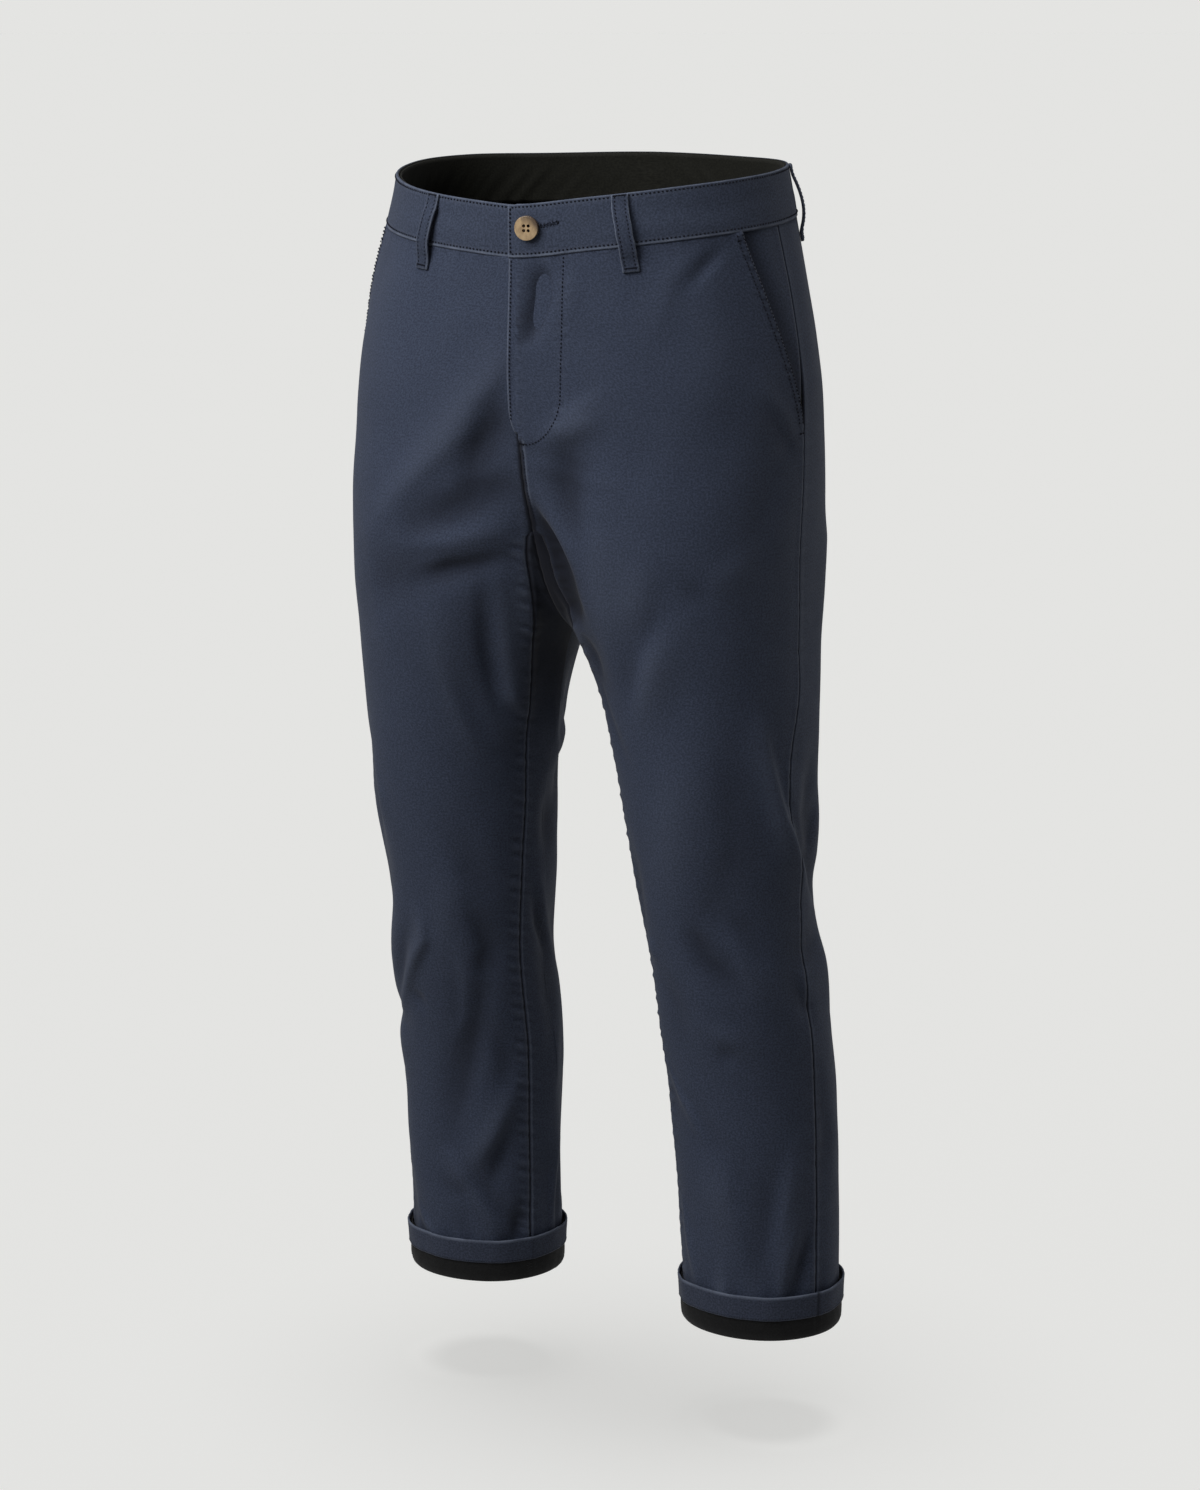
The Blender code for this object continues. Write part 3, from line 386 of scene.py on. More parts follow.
FINE_CREASES: dict[Side, tuple[Crease, ...]] = {
    Side.LEFT: creases((
        # Below the fly and on the front of the thigh
        ((240, -114, 280, -115, 340, -117), 9, 1.4, -0.6), ((205, -92, 235, -103, 275, -109), 14, -3.6),
        ((285, -79, 330, -87, 385, -95), 15, 2.6), ((172, -80, 182, -88, 195, -97), 9, 2.4),
        ((38, -87, 54, -86, 72, -87, 92, -90, 106, -92.5), 6, -5.4, 0.5, 0.5),
        ((46, -79, 70, -80, 96, -82), 6, 0.8), ((350, -132, 390, -142), 12, -3.5),
        ((42, -29, 56, -37, 74, -46), 6, -2.2, 0.4), ((44, -40, 70, -52, 110, -60), 10, 0.9),
        ((200, -100, 170, -88, 152, -77), 9, 1.6, 0.6), ((186, -91, 212, -95, 242, -104), 12, -2.2),
        ((212, -110, 222, -96, 226, -82), 7, 0.9), ((252, -92, 315, -100, 381, -114), 17, 2.2, -0.3),
        ((321, -77, 354, -92, 398, -112), 12, -2.6, 0.6), ((338, -72, 378, -89, 414, -105), 12, 1.9, -0.5),
        ((312, -57, 291, -38, 270, -24), 16, 1.2, 0.5), ((306, -66, 312, -50), 12, -1.2),
        ((190, -8, 240, -22, 300, -30), 16, -1.2), ((170, -22, 196, -12, 215, -6), 8, -1.2, 0.4),
        ((150, -25, 178, -14, 196, -9), 7, 1.0), ((60, -45, 120, -38, 170, -52), 22, 0.8),
        # Outline of the leg
        ((285, 24, 380, 26, 530, 24), 18, 3.0, 0, 0.4), ((575, 26, 665, 22), 16, 3.0),
        ((520, -140, 590, -146), 14, -2.6), ((620, -146, 765, -150), 14, 1.6),
        # Side and front of the knee
        ((540, -72, 590, -76, 640, -66), 20, -2.4),
        ((414, -34, 459, -29, 492, -24, 518, -14, 548, 2, 578, 22), 7, 2.4, 0.7),
        ((425, -27, 470, -21, 515, -8, 552, 12), 7, -1.8), ((478, 24, 500, 14, 526, 8), 9, -2.0, 0.5),
        ((438, -76, 498, -94, 560, -105), 22, 2.0), ((440, -52, 513, -55, 560, -66), 20, -2.0, -0.4),
        ((578, -91, 606, -84, 628, -67), 11, -2.4, 0.6), ((572, -83, 600, -62, 640, -46), 13, 1.8, -0.5),
        ((566, -58, 590, -51, 612, -43), 11, -1.6), ((624, -24, 645, -16, 662, -12), 8, -1.8, 0.5),
        ((594, -133, 616, -134), 9, 2.0), ((620, -128, 650, -118, 690, -112), 14, -1.4),
        ((680, -88, 690, -74), 9, -1.3), ((664, -92, 676, -66), 10, 1.1),
        # Shin and above the turn-up
        ((705, -144, 738, -118, 762, -105), 5, 1.7, 0.5), ((735, -112, 770, -90, 800, -80), 14, -1.2),
        ((822, -139, 855, -130, 888, -121), 5, 1.4), ((760, -88, 810, -92, 884, -76), 15, 1.7, 0.7),
        ((765, -39, 807, -45, 866, -55), 11, 1.9, -0.5), ((780, -57, 831, -63, 893, -72), 13, -2.0, 0.3),
        ((838, -28, 866, -35, 898, -41), 8, -3.0, 0.4), ((828, -39, 860, -47, 895, -53), 7, 1.6),
        ((700, -18, 760, -8, 800, -14), 12, -1.4), ((880, -96, 900, -92), 10, 0.9),
        # Back of the leg and the seat
        ((60, 60, 110, 72, 170, 66), 26, -1.4), ((215, 96, 262, 88, 300, 70), 18, -2.6, 0.5),
        ((250, 110, 290, 97, 330, 74), 14, 2.0, -0.5), ((290, 128, 318, 108, 348, 92), 11, -2.4, 0.4),
        ((330, 60, 400, 74, 470, 66), 20, 1.6), ((360, 110, 420, 98, 480, 104), 16, -1.8),
        ((478, 60, 508, 86, 520, 118), 12, -2.6, 0.5), ((500, 50, 530, 78, 546, 112), 9, 2.0, -0.6),
        ((540, 56, 566, 84, 572, 116), 10, -2.4, 0.5), ((562, 48, 596, 72, 612, 104), 10, 1.8),
        ((520, 128, 560, 140, 604, 136), 10, -1.8), ((620, 60, 660, 88, 676, 118), 12, -1.8, 0.4),
        ((700, 40, 770, 56, 840, 50), 16, 1.5), ((730, 78, 800, 92, 880, 86), 14, -1.7),
        ((780, 118, 840, 128, 896, 122), 10, 1.5), ((820, 150, 860, 158, 898, 152), 9, -1.6),
        ((410, 170, 450, 150, 480, 128), 10, -2.0, 0.5), ((395, -172, 440, 172, 470, 150), 8, 1.6),
        ((380, -150, 420, -135, 450, -122), 9, -1.6), ((640, 168, 690, 178, 730, -176), 9, 1.5),
    )),
    Side.RIGHT: creases((
        # Hip and front of the thigh
        ((108, -99, 150, -97, 190, -90, 225, -79, 250, -69, 274, -56), 19, 5.0, -0.4),
        ((140, -99, 170, -96, 200, -96, 228, -100), 14, -5.2, 0.4, 0.5),
        ((238, -113, 250, -101, 266, -86), 17, -4.8, 0, 0.4),
        ((295, -139, 350, -146, 430, -151), 15, 4.6, -0.4),
        ((283, -80, 278, -100, 269, -124), 10, 1.8, 0.5), ((308, -90, 300, -104, 291, -126), 9, -4.6, -0.4),
        ((318, -118, 369, -128, 420, -140), 9, -2.4, 0.5), ((300, -123, 360, -136, 432, -149), 8, 1.7),
        ((327, -94, 375, -105, 435, -122, 464, -134), 16, 1.7, 0.6),
        ((385, -112, 420, -124, 452, -136), 10, -1.6), ((400, -140, 416, -150, 424, -158), 6, 1.3),
        ((414, -142, 430, -152), 6, -1.2), ((60, -50, 120, -44, 170, -55), 24, 1.0),
        ((190, -30, 260, -24, 330, -34), 26, 1.2), ((474, -46, 500, -52, 524, -50), 8, 1.6, 0.4),
        ((455, -30, 490, -38, 530, -36), 9, -1.6),
        # Outline of the leg
        ((470, -36, 540, -30, 645, -36), 20, -2.4), ((690, -34, 750, -36), 18, 2.0),
        ((830, -36, 905, -38), 18, -2.4), ((495, 178, 555, 176), 12, -2.5),
        ((600, -178, 720, 178), 14, -2.5), ((375, 180, 470, 178), 16, 3.0),
        ((780, -178, 840, -178), 12, 2.4),
        # Knee
        ((598, -80, 621, -82, 645, -70, 690, -46), 7, 3.4, -0.6), ((612, -66, 650, -52, 690, -34), 9, -2.2),
        ((672, -74, 684, -66), 8, -1.8), ((590, -118, 627, -129, 655, -122), 11, -3.0, 0.4),
        ((655, -122, 672, -118, 708, -110, 760, -100, 800, -88), 15, -4.0, -0.4),
        ((628, -108, 655, -112, 688, -108, 716, -96), 10, 2.2, 0.5),
        ((700, -128, 730, -134, 760, -130), 10, -1.6), ((560, -104, 600, -100, 640, -96), 14, 1.2),
        ((520, -110, 560, -120, 584, -134), 14, -1.5), ((585, -166, 612, -172, 638, 176), 8, -2.6, 0.5),
        ((566, -170, 600, -178, 636, 168), 7, 1.8),
        # Shin and above the turn-up
        ((752, -138, 792, -124, 826, -104), 11, 3.2, -0.3),
        ((786, -134, 815, -127, 842, -120), 8, -2.4, 0.4), ((815, -86, 850, -108, 890, -130), 7, 1.5),
        ((828, -104, 858, -122, 880, -138), 7, -1.5), ((838, -76, 850, -92, 846, -106), 9, -1.2),
        ((860, -144, 880, -141, 898, -138), 8, -3.4), ((812, -178, 850, -176, 896, -174), 6, 2.2, 0.4),
        ((826, 172, 860, 174, 898, 172), 8, -2.2), ((868, -50, 882, -62, 894, -74), 4, 1.4),
        ((760, -40, 820, -48, 880, -40), 18, 1.2), ((710, -10, 770, -20, 830, -14), 14, -1.5),
        ((858, -98, 898, -92), 10, -1.0),
        # Back of the leg and the seat
        ((60, 62, 110, 74, 175, 68), 26, -1.4), ((212, 92, 258, 84, 296, 66), 18, -2.4, 0.5),
        ((246, 112, 286, 98, 326, 78), 13, 2.0, -0.5), ((286, 126, 314, 110, 344, 94), 11, -2.4, 0.4),
        ((336, 64, 404, 78, 474, 70), 20, 1.6), ((370, 116, 424, 104, 484, 108), 16, -1.8),
        ((486, 56, 514, 84, 526, 116), 12, -2.6, 0.5), ((506, 46, 538, 74, 552, 110), 9, 2.0, -0.6),
        ((548, 54, 574, 82, 582, 112), 10, -2.4, 0.5), ((570, 44, 602, 70, 618, 100), 10, 1.8),
        ((620, 56, 664, 86, 680, 116), 12, -1.8, 0.4), ((700, 44, 772, 60, 842, 52), 16, 1.5),
        ((736, 84, 804, 96, 884, 90), 14, -1.7), ((786, 116, 842, 126, 896, 120), 10, 1.4),
        ((404, 172, 444, 152, 476, 130), 10, -2.0, 0.5), ((420, -176, 450, 176, 484, 160), 6, 1.8),
        ((436, 178, 470, 166, 498, 150), 6, -1.8), ((690, 170, 730, 178, 770, -178), 9, 1.4),
    )),
}


@dataclass(frozen=True)
class Cloth:
    """The cloth's surface: the form with its folds, its creases and the puckers beside its seams."""

    form: LegForm = field(default_factory=LegForm)
    wall: float = 1.3 * MM
    fly_step: float = 2.1 * MM
    fly_blend: float = 40 * MM
    fly_fade: float = 18 * MM
    top_stitch_x: float = 37 * MM
    top_stitch_turn: float = 150 * MM
    top_stitch_drop: float = 48 * MM
    crease_gain: float = 1.45
    tuck_depth: float = 11 * MM
    lift_left: Rows = (
        (-100, 0), (-90, 0.5), (-84, 2.6), (-78, 4.9), (-62, 8.6), (-45, 10.8), (-20, 10.6), (5, 7.5),
        (26, 4.8), (60, 0), (100, 0),
    )
    lift_right: Rows = (
        (-100, 0), (-90, 0.3), (-78, 3.2), (-62, 6.0), (-45, 8.2), (-24, 9.8), (0, 9.2), (30, 5.0), (60, 0),
        (100, 0),
    )
    lift_start: float = 50 * MM
    lift_end: float = 200 * MM
    draw: float = 6.2 * MM
    draw_end: float = 100 * MM
    draw_at: float = -26.0
    draw_reach: float = 40.0

    def gap(self, side: Side, depth: Points, angle: Points, seam: Points) -> Points:
        """Signed distance round the leg from a seam, positive towards growing angles."""
        turn = (angle - seam + math.pi) % (2 * math.pi) - math.pi
        return turn * self.form.radius(side, depth)

    def folds(self, side: Side, depth: Points, angle: Points) -> Points:
        """Height of the folds and creases out of the plain form."""
        radius = self.form.radius(side, depth)
        total = np.zeros(depth.shape)
        for crease in LARGE_FOLDS[side]:
            total += crease.relief(depth, angle, radius)
        fine = np.zeros(depth.shape)
        for crease in FINE_CREASES[side]:
            fine += self.crease_gain * crease.relief(depth, angle, radius)
        swell = 0.35 * MM * ripple(depth + 0.4 * angle * radius, 97 * MM, 1.0 + side)
        swell *= ripple(angle * radius - 0.3 * depth, 71 * MM, 2.0)
        settle = ease((depth - 40 * MM) / (24 * MM)) * ease((935 * MM - depth) / (35 * MM))
        return total + (fine + swell) * settle

    def puckers(self, side: Side, depth: Points, angle: Points) -> Points:
        """Height of the small ripples that the sewing draws in beside the seams.

        Args:
            side: Which leg.
            depth: Depths in metres.
            angle: Angles in radians.

        Returns:
            Heights in metres.
        """
        form = self.form
        round_leg = angle * form.radius(side, depth)
        under_band = np.exp(-np.maximum(depth - form.band, 0) / (8 * MM))
        total = 0.12 * MM * ripple(round_leg, 13 * MM, 0.7 + side) * under_band
        at_side = self.gap(side, depth, angle, form.side_seam_angle(depth))
        below_pocket = ease((depth - 150 * MM) / (60 * MM))
        total += 0.22 * MM * ripple(depth, 12 * MM, 3.1 + side) * bell(at_side, 7 * MM) * below_pocket
        at_inside = self.gap(side, depth, angle, form.inseam_angle(side, depth))
        near = bell(at_inside - 6 * MM, 5 * MM) + 0.35 * bell(at_inside + 5 * MM, 5 * MM)
        rope = ripple(depth + 0.3 * at_inside, 10.5 * MM, 5.3 + side)
        total += 0.85 * MM * rope * near * (depth > form.fork)
        pocket = self.gap(side, depth, angle, form.pocket_angle(depth))
        in_pocket = ease((form.pocket_end + 14 * MM - depth) / (14 * MM))
        in_pocket = in_pocket * ease((depth - form.band) / (8 * MM))
        edge = bell(pocket + 5 * MM, 4.5 * MM)
        total += 0.62 * MM * ripple(depth - 0.4 * pocket, 7.5 * MM, 1.7 + side) * edge * in_pocket
        x, y = form.outline(side, depth, angle)
        if side == Side.LEFT:
            line = (x - self.top_stitch_line(depth)) * (y < 0)
            stitch = bell(line, 5 * MM) * ease((form.fly_end + 12 * MM - depth) / (10 * MM)) * (y < 0)
            total += 0.30 * MM * ripple(depth + 0.35 * x, 9.5 * MM, 2.2) * stitch
            lap = bell(x, 6 * MM) * (y < 0) * (depth < form.fly_end + 20 * MM)
            total += 0.28 * MM * ripple(depth - 0.3 * x, 8 * MM, 6.2) * lap
        rise = bell(x, 7 * MM) * ((y > 0) | (depth > form.fly_end)) * (depth < 330 * MM)
        total += 0.25 * MM * ripple(depth, 11 * MM, 4.4 + side) * rise
        at_hem = np.exp(-np.maximum(form.hem - 39 * MM - depth, 0) / (16 * MM)) * (depth > 700 * MM)
        return total + 0.35 * MM * ripple(round_leg, 26 * MM, 8.1 + side) * at_hem

    def tuck(self, side: Side, depth: Points, angle: Points) -> Points:
        """Depth of the hollow below the fork, where the left thigh stands before the right one."""
        x, _ = self.form.outline(side, depth, angle)
        share = ease((depth - 238 * MM) / (70 * MM))
        middle = (4 + 20 * share) * MM
        width = (5 + 11 * share) * MM
        down = ease((depth - 236 * MM) / (45 * MM)) * ease((352 * MM - depth) / (26 * MM))
        return -self.tuck_depth * down * bell(side * x - middle, width) * (angle < 0)

    def waist_lift(self, side: Side, depth: Points, angle: Points) -> Points:
        """How far the waist rises beside the dip at the button."""
        rows = self.lift_left if side == Side.LEFT else self.lift_right
        level = 1 - ease((depth - self.lift_start) / (self.lift_end - self.lift_start))
        return smooth_curve(rows, 1, np.clip(np.degrees(angle), -100, 100)) * MM * level

    def waist_draw(self, side: Side, depth: Points, angle: Points) -> Points:
        """How far the waist is drawn in at the wearer's right hip."""
        if side == Side.LEFT:
            return np.zeros(depth.shape)
        level = 1 - ease(depth / self.draw_end)
        return -self.draw * level * bell(np.degrees(angle) - self.draw_at, self.draw_reach)

    def top_stitch_line(self, depth: Points) -> Points:
        """Distance of the fly's curved topstitching from the middle plane."""
        share = np.clip((depth - self.top_stitch_turn) / self.top_stitch_drop, 0, 1)
        return self.top_stitch_x * np.sqrt(np.maximum(1 - share ** 2.2, 0)) + 2 * MM * share

    def fly_rise(self, side: Side, depth: Points, angle: Points) -> Points:
        """How far the left front stands out to lap over the right one."""
        if side == Side.RIGHT:
            return np.zeros(depth.shape)
        x, y = self.form.outline(side, depth, angle)
        down = 1 - ease((depth - self.form.fly_end) / self.fly_fade)
        return self.fly_step * down * (1 - ease(x / self.fly_blend)) * (y < 0)

    def place(self, side: Side, depth: Points, angle: Points, out: Points = 0.0,
              fine: bool = True) -> Points:
        """Points of the cloth's outer surface.

        Args:
            side: Which leg.
            depth: Depths in metres.
            angle: Angles in radians.
            out: Distance to move out of the surface, in metres.
            fine: Whether the creases and puckers are added to the plain form.

        Returns:
            Positions, one row of three numbers for each place.
        """
        form = self.form
        depth, angle, out = (np.array(part, float) for part in np.broadcast_arrays(depth, angle, out))
        x, y = form.outline(side, depth, angle)
        level = 1 - ease((depth - form.tilt_start) / (form.tilt_end - form.tilt_start))
        tilt = form.waist_tilt * y / form.waist_half_depth * level + self.waist_lift(side, depth, angle)
        fade = ease(x / (2 * form.middle_round))
        move = out + self.waist_draw(side, depth, angle)
        if fine:
            move = move + self.folds(side, depth, angle) * fade + self.puckers(side, depth, angle)
            move = move + self.tuck(side, depth, angle)
        else:
            radius = form.radius(side, depth)
            move = move + sum(crease.relief(depth, angle, radius) for crease in LARGE_FOLDS[side]) * fade
        place = np.stack([x, y, tilt - depth], -1) + form.outward(side, x, y, depth) * move[..., None]
        place[..., 0] = place[..., 0] * side + smooth_column(form.hip_sway, 1, depth) * MM
        return place

    def front(self, x: Points, depth: Points, out: Points = 0.0, fine: bool = True) -> Points:
        """Points on the front at signed distances from the middle plane, as place gives them."""
        x, depth, out = (np.array(part, float) for part in np.broadcast_arrays(x, depth, out))
        result = np.zeros(x.shape + (3,))
        for side in Side:
            mine = (x >= 0) == (side == Side.LEFT)
            if mine.any():
                angle = -self.form.angle_across(side, depth[mine], np.abs(x[mine]), False)
                result[mine] = self.place(side, depth[mine], angle, out[mine], fine)
        return result

    def line(self, side: Side, depth: Points, angle: Points, out: Points,
             fine: bool = True) -> tuple[Points, Points]:
        """Points as place gives them, with the directions out of the cloth."""
        line = self.place(side, depth, angle, out, fine)
        return line, unit(line - self.place(side, depth, angle, out - 1 * MM, fine))

    def front_line(self, x: Points, depth: Points, out: Points, fine: bool = True) -> tuple[Points, Points]:
        """Points as front gives them, with the directions out of the cloth."""
        line = self.front(x, depth, out, fine)
        return line, unit(line - self.front(x, depth, out - 1 * MM, fine))


# Materials


def tint(colour: Colour, share: float = 1.0) -> tuple[float, ...]:
    """A colour made darker or lighter, with its alpha."""
    return (*(part * share for part in colour), 1)


class Nodes:
    """Short hand for building a node tree."""

    def __init__(self, tree: bpy.types.NodeTree) -> None:
        """Keep the tree."""
        self.tree = tree

    def add(self, kind: str, **settings: object) -> bpy.types.Node:
        """Add a node and set its properties."""
        node = self.tree.nodes.new(kind)
        for name, value in settings.items():
            setattr(node, name, value)
        return node

    def feed(self, target: bpy.types.NodeSocket, value: object) -> None:
        """Link a socket to the target, or set the target's value."""
        if isinstance(value, bpy.types.NodeSocket):
            self.tree.links.new(value, target)
        else:
            target.default_value = value

    def fill(self, node: bpy.types.Node, **inputs: object) -> bpy.types.Node:
        """Link or set a node's inputs, named with _ where Blender has a space."""
        for name, value in inputs.items():
            self.feed(node.inputs[name.replace("_", " ")], value)
        return node

    def math(self, operation: str, *values: object, clamp: bool = False) -> bpy.types.NodeSocket:
        """Math node on numbers or sockets."""
        node = self.add("ShaderNodeMath", operation=operation, use_clamp=clamp)
        for socket, value in zip(node.inputs, values):
            self.feed(socket, value)
        return node.outputs[0]

    def plus(self, first: object, second: object) -> bpy.types.NodeSocket:
        """Sum of two numbers or sockets."""
        return self.math("ADD", first, second)

    def times(self, first: object, second: object) -> bpy.types.NodeSocket:
        """Product of two numbers or sockets."""
        return self.math("MULTIPLY", first, second)

    def noise(self, vector: bpy.types.NodeSocket, scale: float, detail: float,
              rough: float) -> bpy.types.NodeSocket:
        """Noise between 0 and 1 along a vector."""
        node = self.add("ShaderNodeTexNoise")
        return self.fill(node, Vector=vector, Scale=scale, Detail=detail, Roughness=rough).outputs["Fac"]

    def stretch(self, vector: bpy.types.NodeSocket, scale: Colour,
                turn: Colour = (0, 0, 0)) -> bpy.types.NodeSocket:
        """A vector that is turned and stretched."""
        node = self.add("ShaderNodeMapping")
        return self.fill(node, Vector=vector, Scale=scale, Rotation=turn).outputs["Vector"]

    def spread(self, value: bpy.types.NodeSocket, low: float, high: float, to_low: float = 0.0,
               to_high: float = 1.0) -> bpy.types.NodeSocket:
        """Map a range of numbers to another one, with clamped ends."""
        node = self.fill(self.add("ShaderNodeMapRange"), Value=value, From_Min=low, From_Max=high,
                         To_Min=to_low, To_Max=to_high)
        return node.outputs["Result"]

    def blend(self, share: object, first: object, second: object) -> bpy.types.NodeSocket:
        """Mix two colours."""
        node = self.add("ShaderNodeMix", data_type="RGBA", blend_type="MIX")
        for k, value in ((0, share), (6, first), (7, second)):
            self.feed(node.inputs[k], value)
        return node.outputs[2]

    def bump(self, height: bpy.types.NodeSocket, strength: float, distance: float) -> bpy.types.NodeSocket:
        """Normals of a rough surface from its height."""
        node = self.fill(self.add("ShaderNodeBump"), Strength=strength, Distance=distance, Height=height)
        return node.outputs["Normal"]


class Groups:
    """Shader node groups that several finishes share."""

    def __init__(self) -> None:
        """Build the groups once."""
        self.weave = self.make_weave()
        self.wash = self.make_wash()

    @staticmethod
    def start(name: str, inputs: Sequence[tuple[str, str, object]],
              outputs: Sequence[str]) -> tuple[bpy.types.NodeTree, Nodes, bpy.types.Node, bpy.types.Node]:
        """Make a group with its sockets.

        Args:
            name: The group's name.
            inputs: Name, socket type and default of each input.
            outputs: Names of the outputs, which are all numbers.

        Returns:
            The group, its node helper, and its input and output nodes.
        """
        group = bpy.data.node_groups.new(name, "ShaderNodeTree")
        for label, kind, default in inputs:
            socket = group.interface.new_socket(label, in_out="INPUT", socket_type=kind)
            if default is not None:
                socket.default_value = default
        for label in outputs:
            group.interface.new_socket(label, in_out="OUTPUT", socket_type="NodeSocketFloat")
        nodes = Nodes(group)
        return group, nodes, nodes.add("NodeGroupInput"), nodes.add("NodeGroupOutput")

    def make_weave(self) -> bpy.types.NodeTree:
        """Twill weave: slanting ribs broken up by the threads that cross them."""
        group, nodes, into, out = self.start(
            "twill_weave",
            (("Vector", "NodeSocketVector", None), ("Ribs", "NodeSocketFloat", 1100.0),
             ("Slant", "NodeSocketFloat", 0.7)),
            ("Height", "Speckle"))
        split = nodes.add("ShaderNodeSeparateXYZ")
        place, ribs = into.outputs["Vector"], into.outputs["Ribs"]
        nodes.feed(split.inputs[0], place)
        across = nodes.times(split.outputs[0], ribs)
        along = nodes.times(split.outputs[1], ribs)
        slanted = nodes.times(along, into.outputs["Slant"])
        jitter = nodes.noise(place, 900.0, 2.0, 0.6)
        rib_place = nodes.plus(nodes.plus(across, slanted), nodes.times(jitter, 0.9))
        rib = nodes.math("SINE", nodes.times(rib_place, 2 * math.pi))
        thread = nodes.math("SINE", nodes.times(nodes.times(along, 1.6), 2 * math.pi))
        height = nodes.times(nodes.plus(rib, 1.0), nodes.times(nodes.plus(thread, 1.6), 0.3))
        nodes.fill(out, Height=height, Speckle=nodes.spread(nodes.noise(place, 1500.0, 3.0, 0.75), 0.3, 0.7))
        return group

    def make_wash(self) -> bpy.types.NodeTree:
        """Uneven fading of washed cloth, from large patches down to slubs in the yarn."""
        group, nodes, into, out = self.start(
            "washed_fade",
            (("Vector", "NodeSocketVector", None), ("Yarn", "NodeSocketVector", None)),
            ("Patches", "Mottle", "Grain", "Slubs"))
        place, yarn = into.outputs["Vector"], into.outputs["Yarn"]
        slubs = nodes.noise(nodes.stretch(yarn, (1.0, 0.12, 1.0)), 620.0, 2.0, 0.6)
        nodes.fill(out, Patches=nodes.spread(nodes.noise(place, 7.0, 3.0, 0.55), 0.3, 0.7),
                   Mottle=nodes.spread(nodes.noise(place, 75.0, 4.0, 0.65), 0.28, 0.72),
                   Grain=nodes.spread(nodes.noise(yarn, 620.0, 2.0, 0.7), 0.40, 0.60),
                   Slubs=nodes.spread(slubs, 0.35, 0.65))
        return group


def new_material(name: str) -> tuple[bpy.types.Material, Nodes, bpy.types.Node, bpy.types.Node]:
    """Start a material.

    Args:
        name: The material's name.

    Returns:
        The material, its node helper, its shader and its coordinates.
    """
    made = bpy.data.materials.new(name)
    made.use_nodes = True
    nodes = Nodes(made.node_tree)
    return made, nodes, made.node_tree.nodes["Principled BSDF"], nodes.add("ShaderNodeTexCoord")


@dataclass(frozen=True)
class TwillFinish:
    """Washed cotton twill, with lighter worn edges and darker seams, and painted highlight and painted shade
    on its folds.
    """

    name: str
    colour: Colour = (0.036, 0.046, 0.076)
    # The next colour is both the rubbed colour of worn edges and the painted highlight on fold crests; the
    # one after it is the dark of seams and also the painted shade in troughs, hollows and between the
    # thighs.
    worn_and_highlight: Colour = (0.200, 0.228, 0.295)
    deep: Colour = (0.007, 0.008, 0.014)
    ribs: float = 1100.0
    slant: float = 0.7
    relief: float = 0.35
    roughness: float = 0.82
    sheen: float = 0.05
    fading: float = 1.0

    def material(self, groups: Groups) -> bpy.types.Material:
        """Build the material.

        Args:
            groups: The shared node groups.

        Returns:
            A material that reads the piece's UV map in metres and its wear_and_highlight and
            dark_seam_and_shade attributes, which carry rubbed wear with painted highlight and dark seams
            with painted shade.
        """
        made, nodes, shader, coords = new_material(self.name)
        weave = nodes.fill(nodes.add("ShaderNodeGroup", node_tree=groups.weave), Vector=coords.outputs["UV"],
                           Ribs=self.ribs, Slant=self.slant).outputs
        wash = nodes.fill(nodes.add("ShaderNodeGroup", node_tree=groups.wash),
                          Vector=coords.outputs["Object"], Yarn=coords.outputs["UV"]).outputs
        wear_and_highlight = nodes.add("ShaderNodeAttribute", attribute_name="wear_and_highlight").outputs["Fac"]
        dark_seam_and_shade = nodes.add("ShaderNodeAttribute", attribute_name="dark_seam_and_shade").outputs["Fac"]
        colour = nodes.blend(wash["Patches"], tint(self.colour, 1 - 0.16 * self.fading),
                             tint(self.colour, 1 + 0.20 * self.fading))
        low_ribs = nodes.math("SUBTRACT", 1.0, weave["Height"], clamp=True)
        layers = (
            (nodes.times(wash["Mottle"], 0.35), tint(self.colour)),
            (0.85, nodes.blend(wash["Grain"], tint(self.colour, 0.5), tint(self.colour, 1.55))),
            (nodes.times(weave["Speckle"], 0.42), tint(self.colour, 1.9)),
            (nodes.times(wash["Slubs"], 0.18), tint(self.colour, 0.62)),
            # Painted shade in the weave's low places; then rubbed wear with painted highlight on fold
            # crests, and dark seams with painted shade.
            (nodes.times(low_ribs, 0.22), tint(self.colour, 0.55)),
            (nodes.times(wear_and_highlight, nodes.spread(wash["Mottle"], 0.0, 1.0, 0.65, 1.0)), tint(self.worn_and_highlight)),
            (dark_seam_and_shade, tint(self.deep)),
        )
        for share, layer in layers:
            colour = nodes.blend(share, colour, layer)
        rough = nodes.spread(wash["Mottle"], 0.0, 1.0, self.roughness - 0.05, self.roughness + 0.08)
        height = nodes.plus(weave["Height"], nodes.times(wash["Slubs"], 0.5))
        nodes.fill(shader, Base_Color=colour, Roughness=rough, Sheen_Weight=self.sheen, Sheen_Roughness=0.45,
                   Specular_IOR_Level=0.16, Normal=nodes.bump(height, self.relief, 0.12 * MM))
        return made


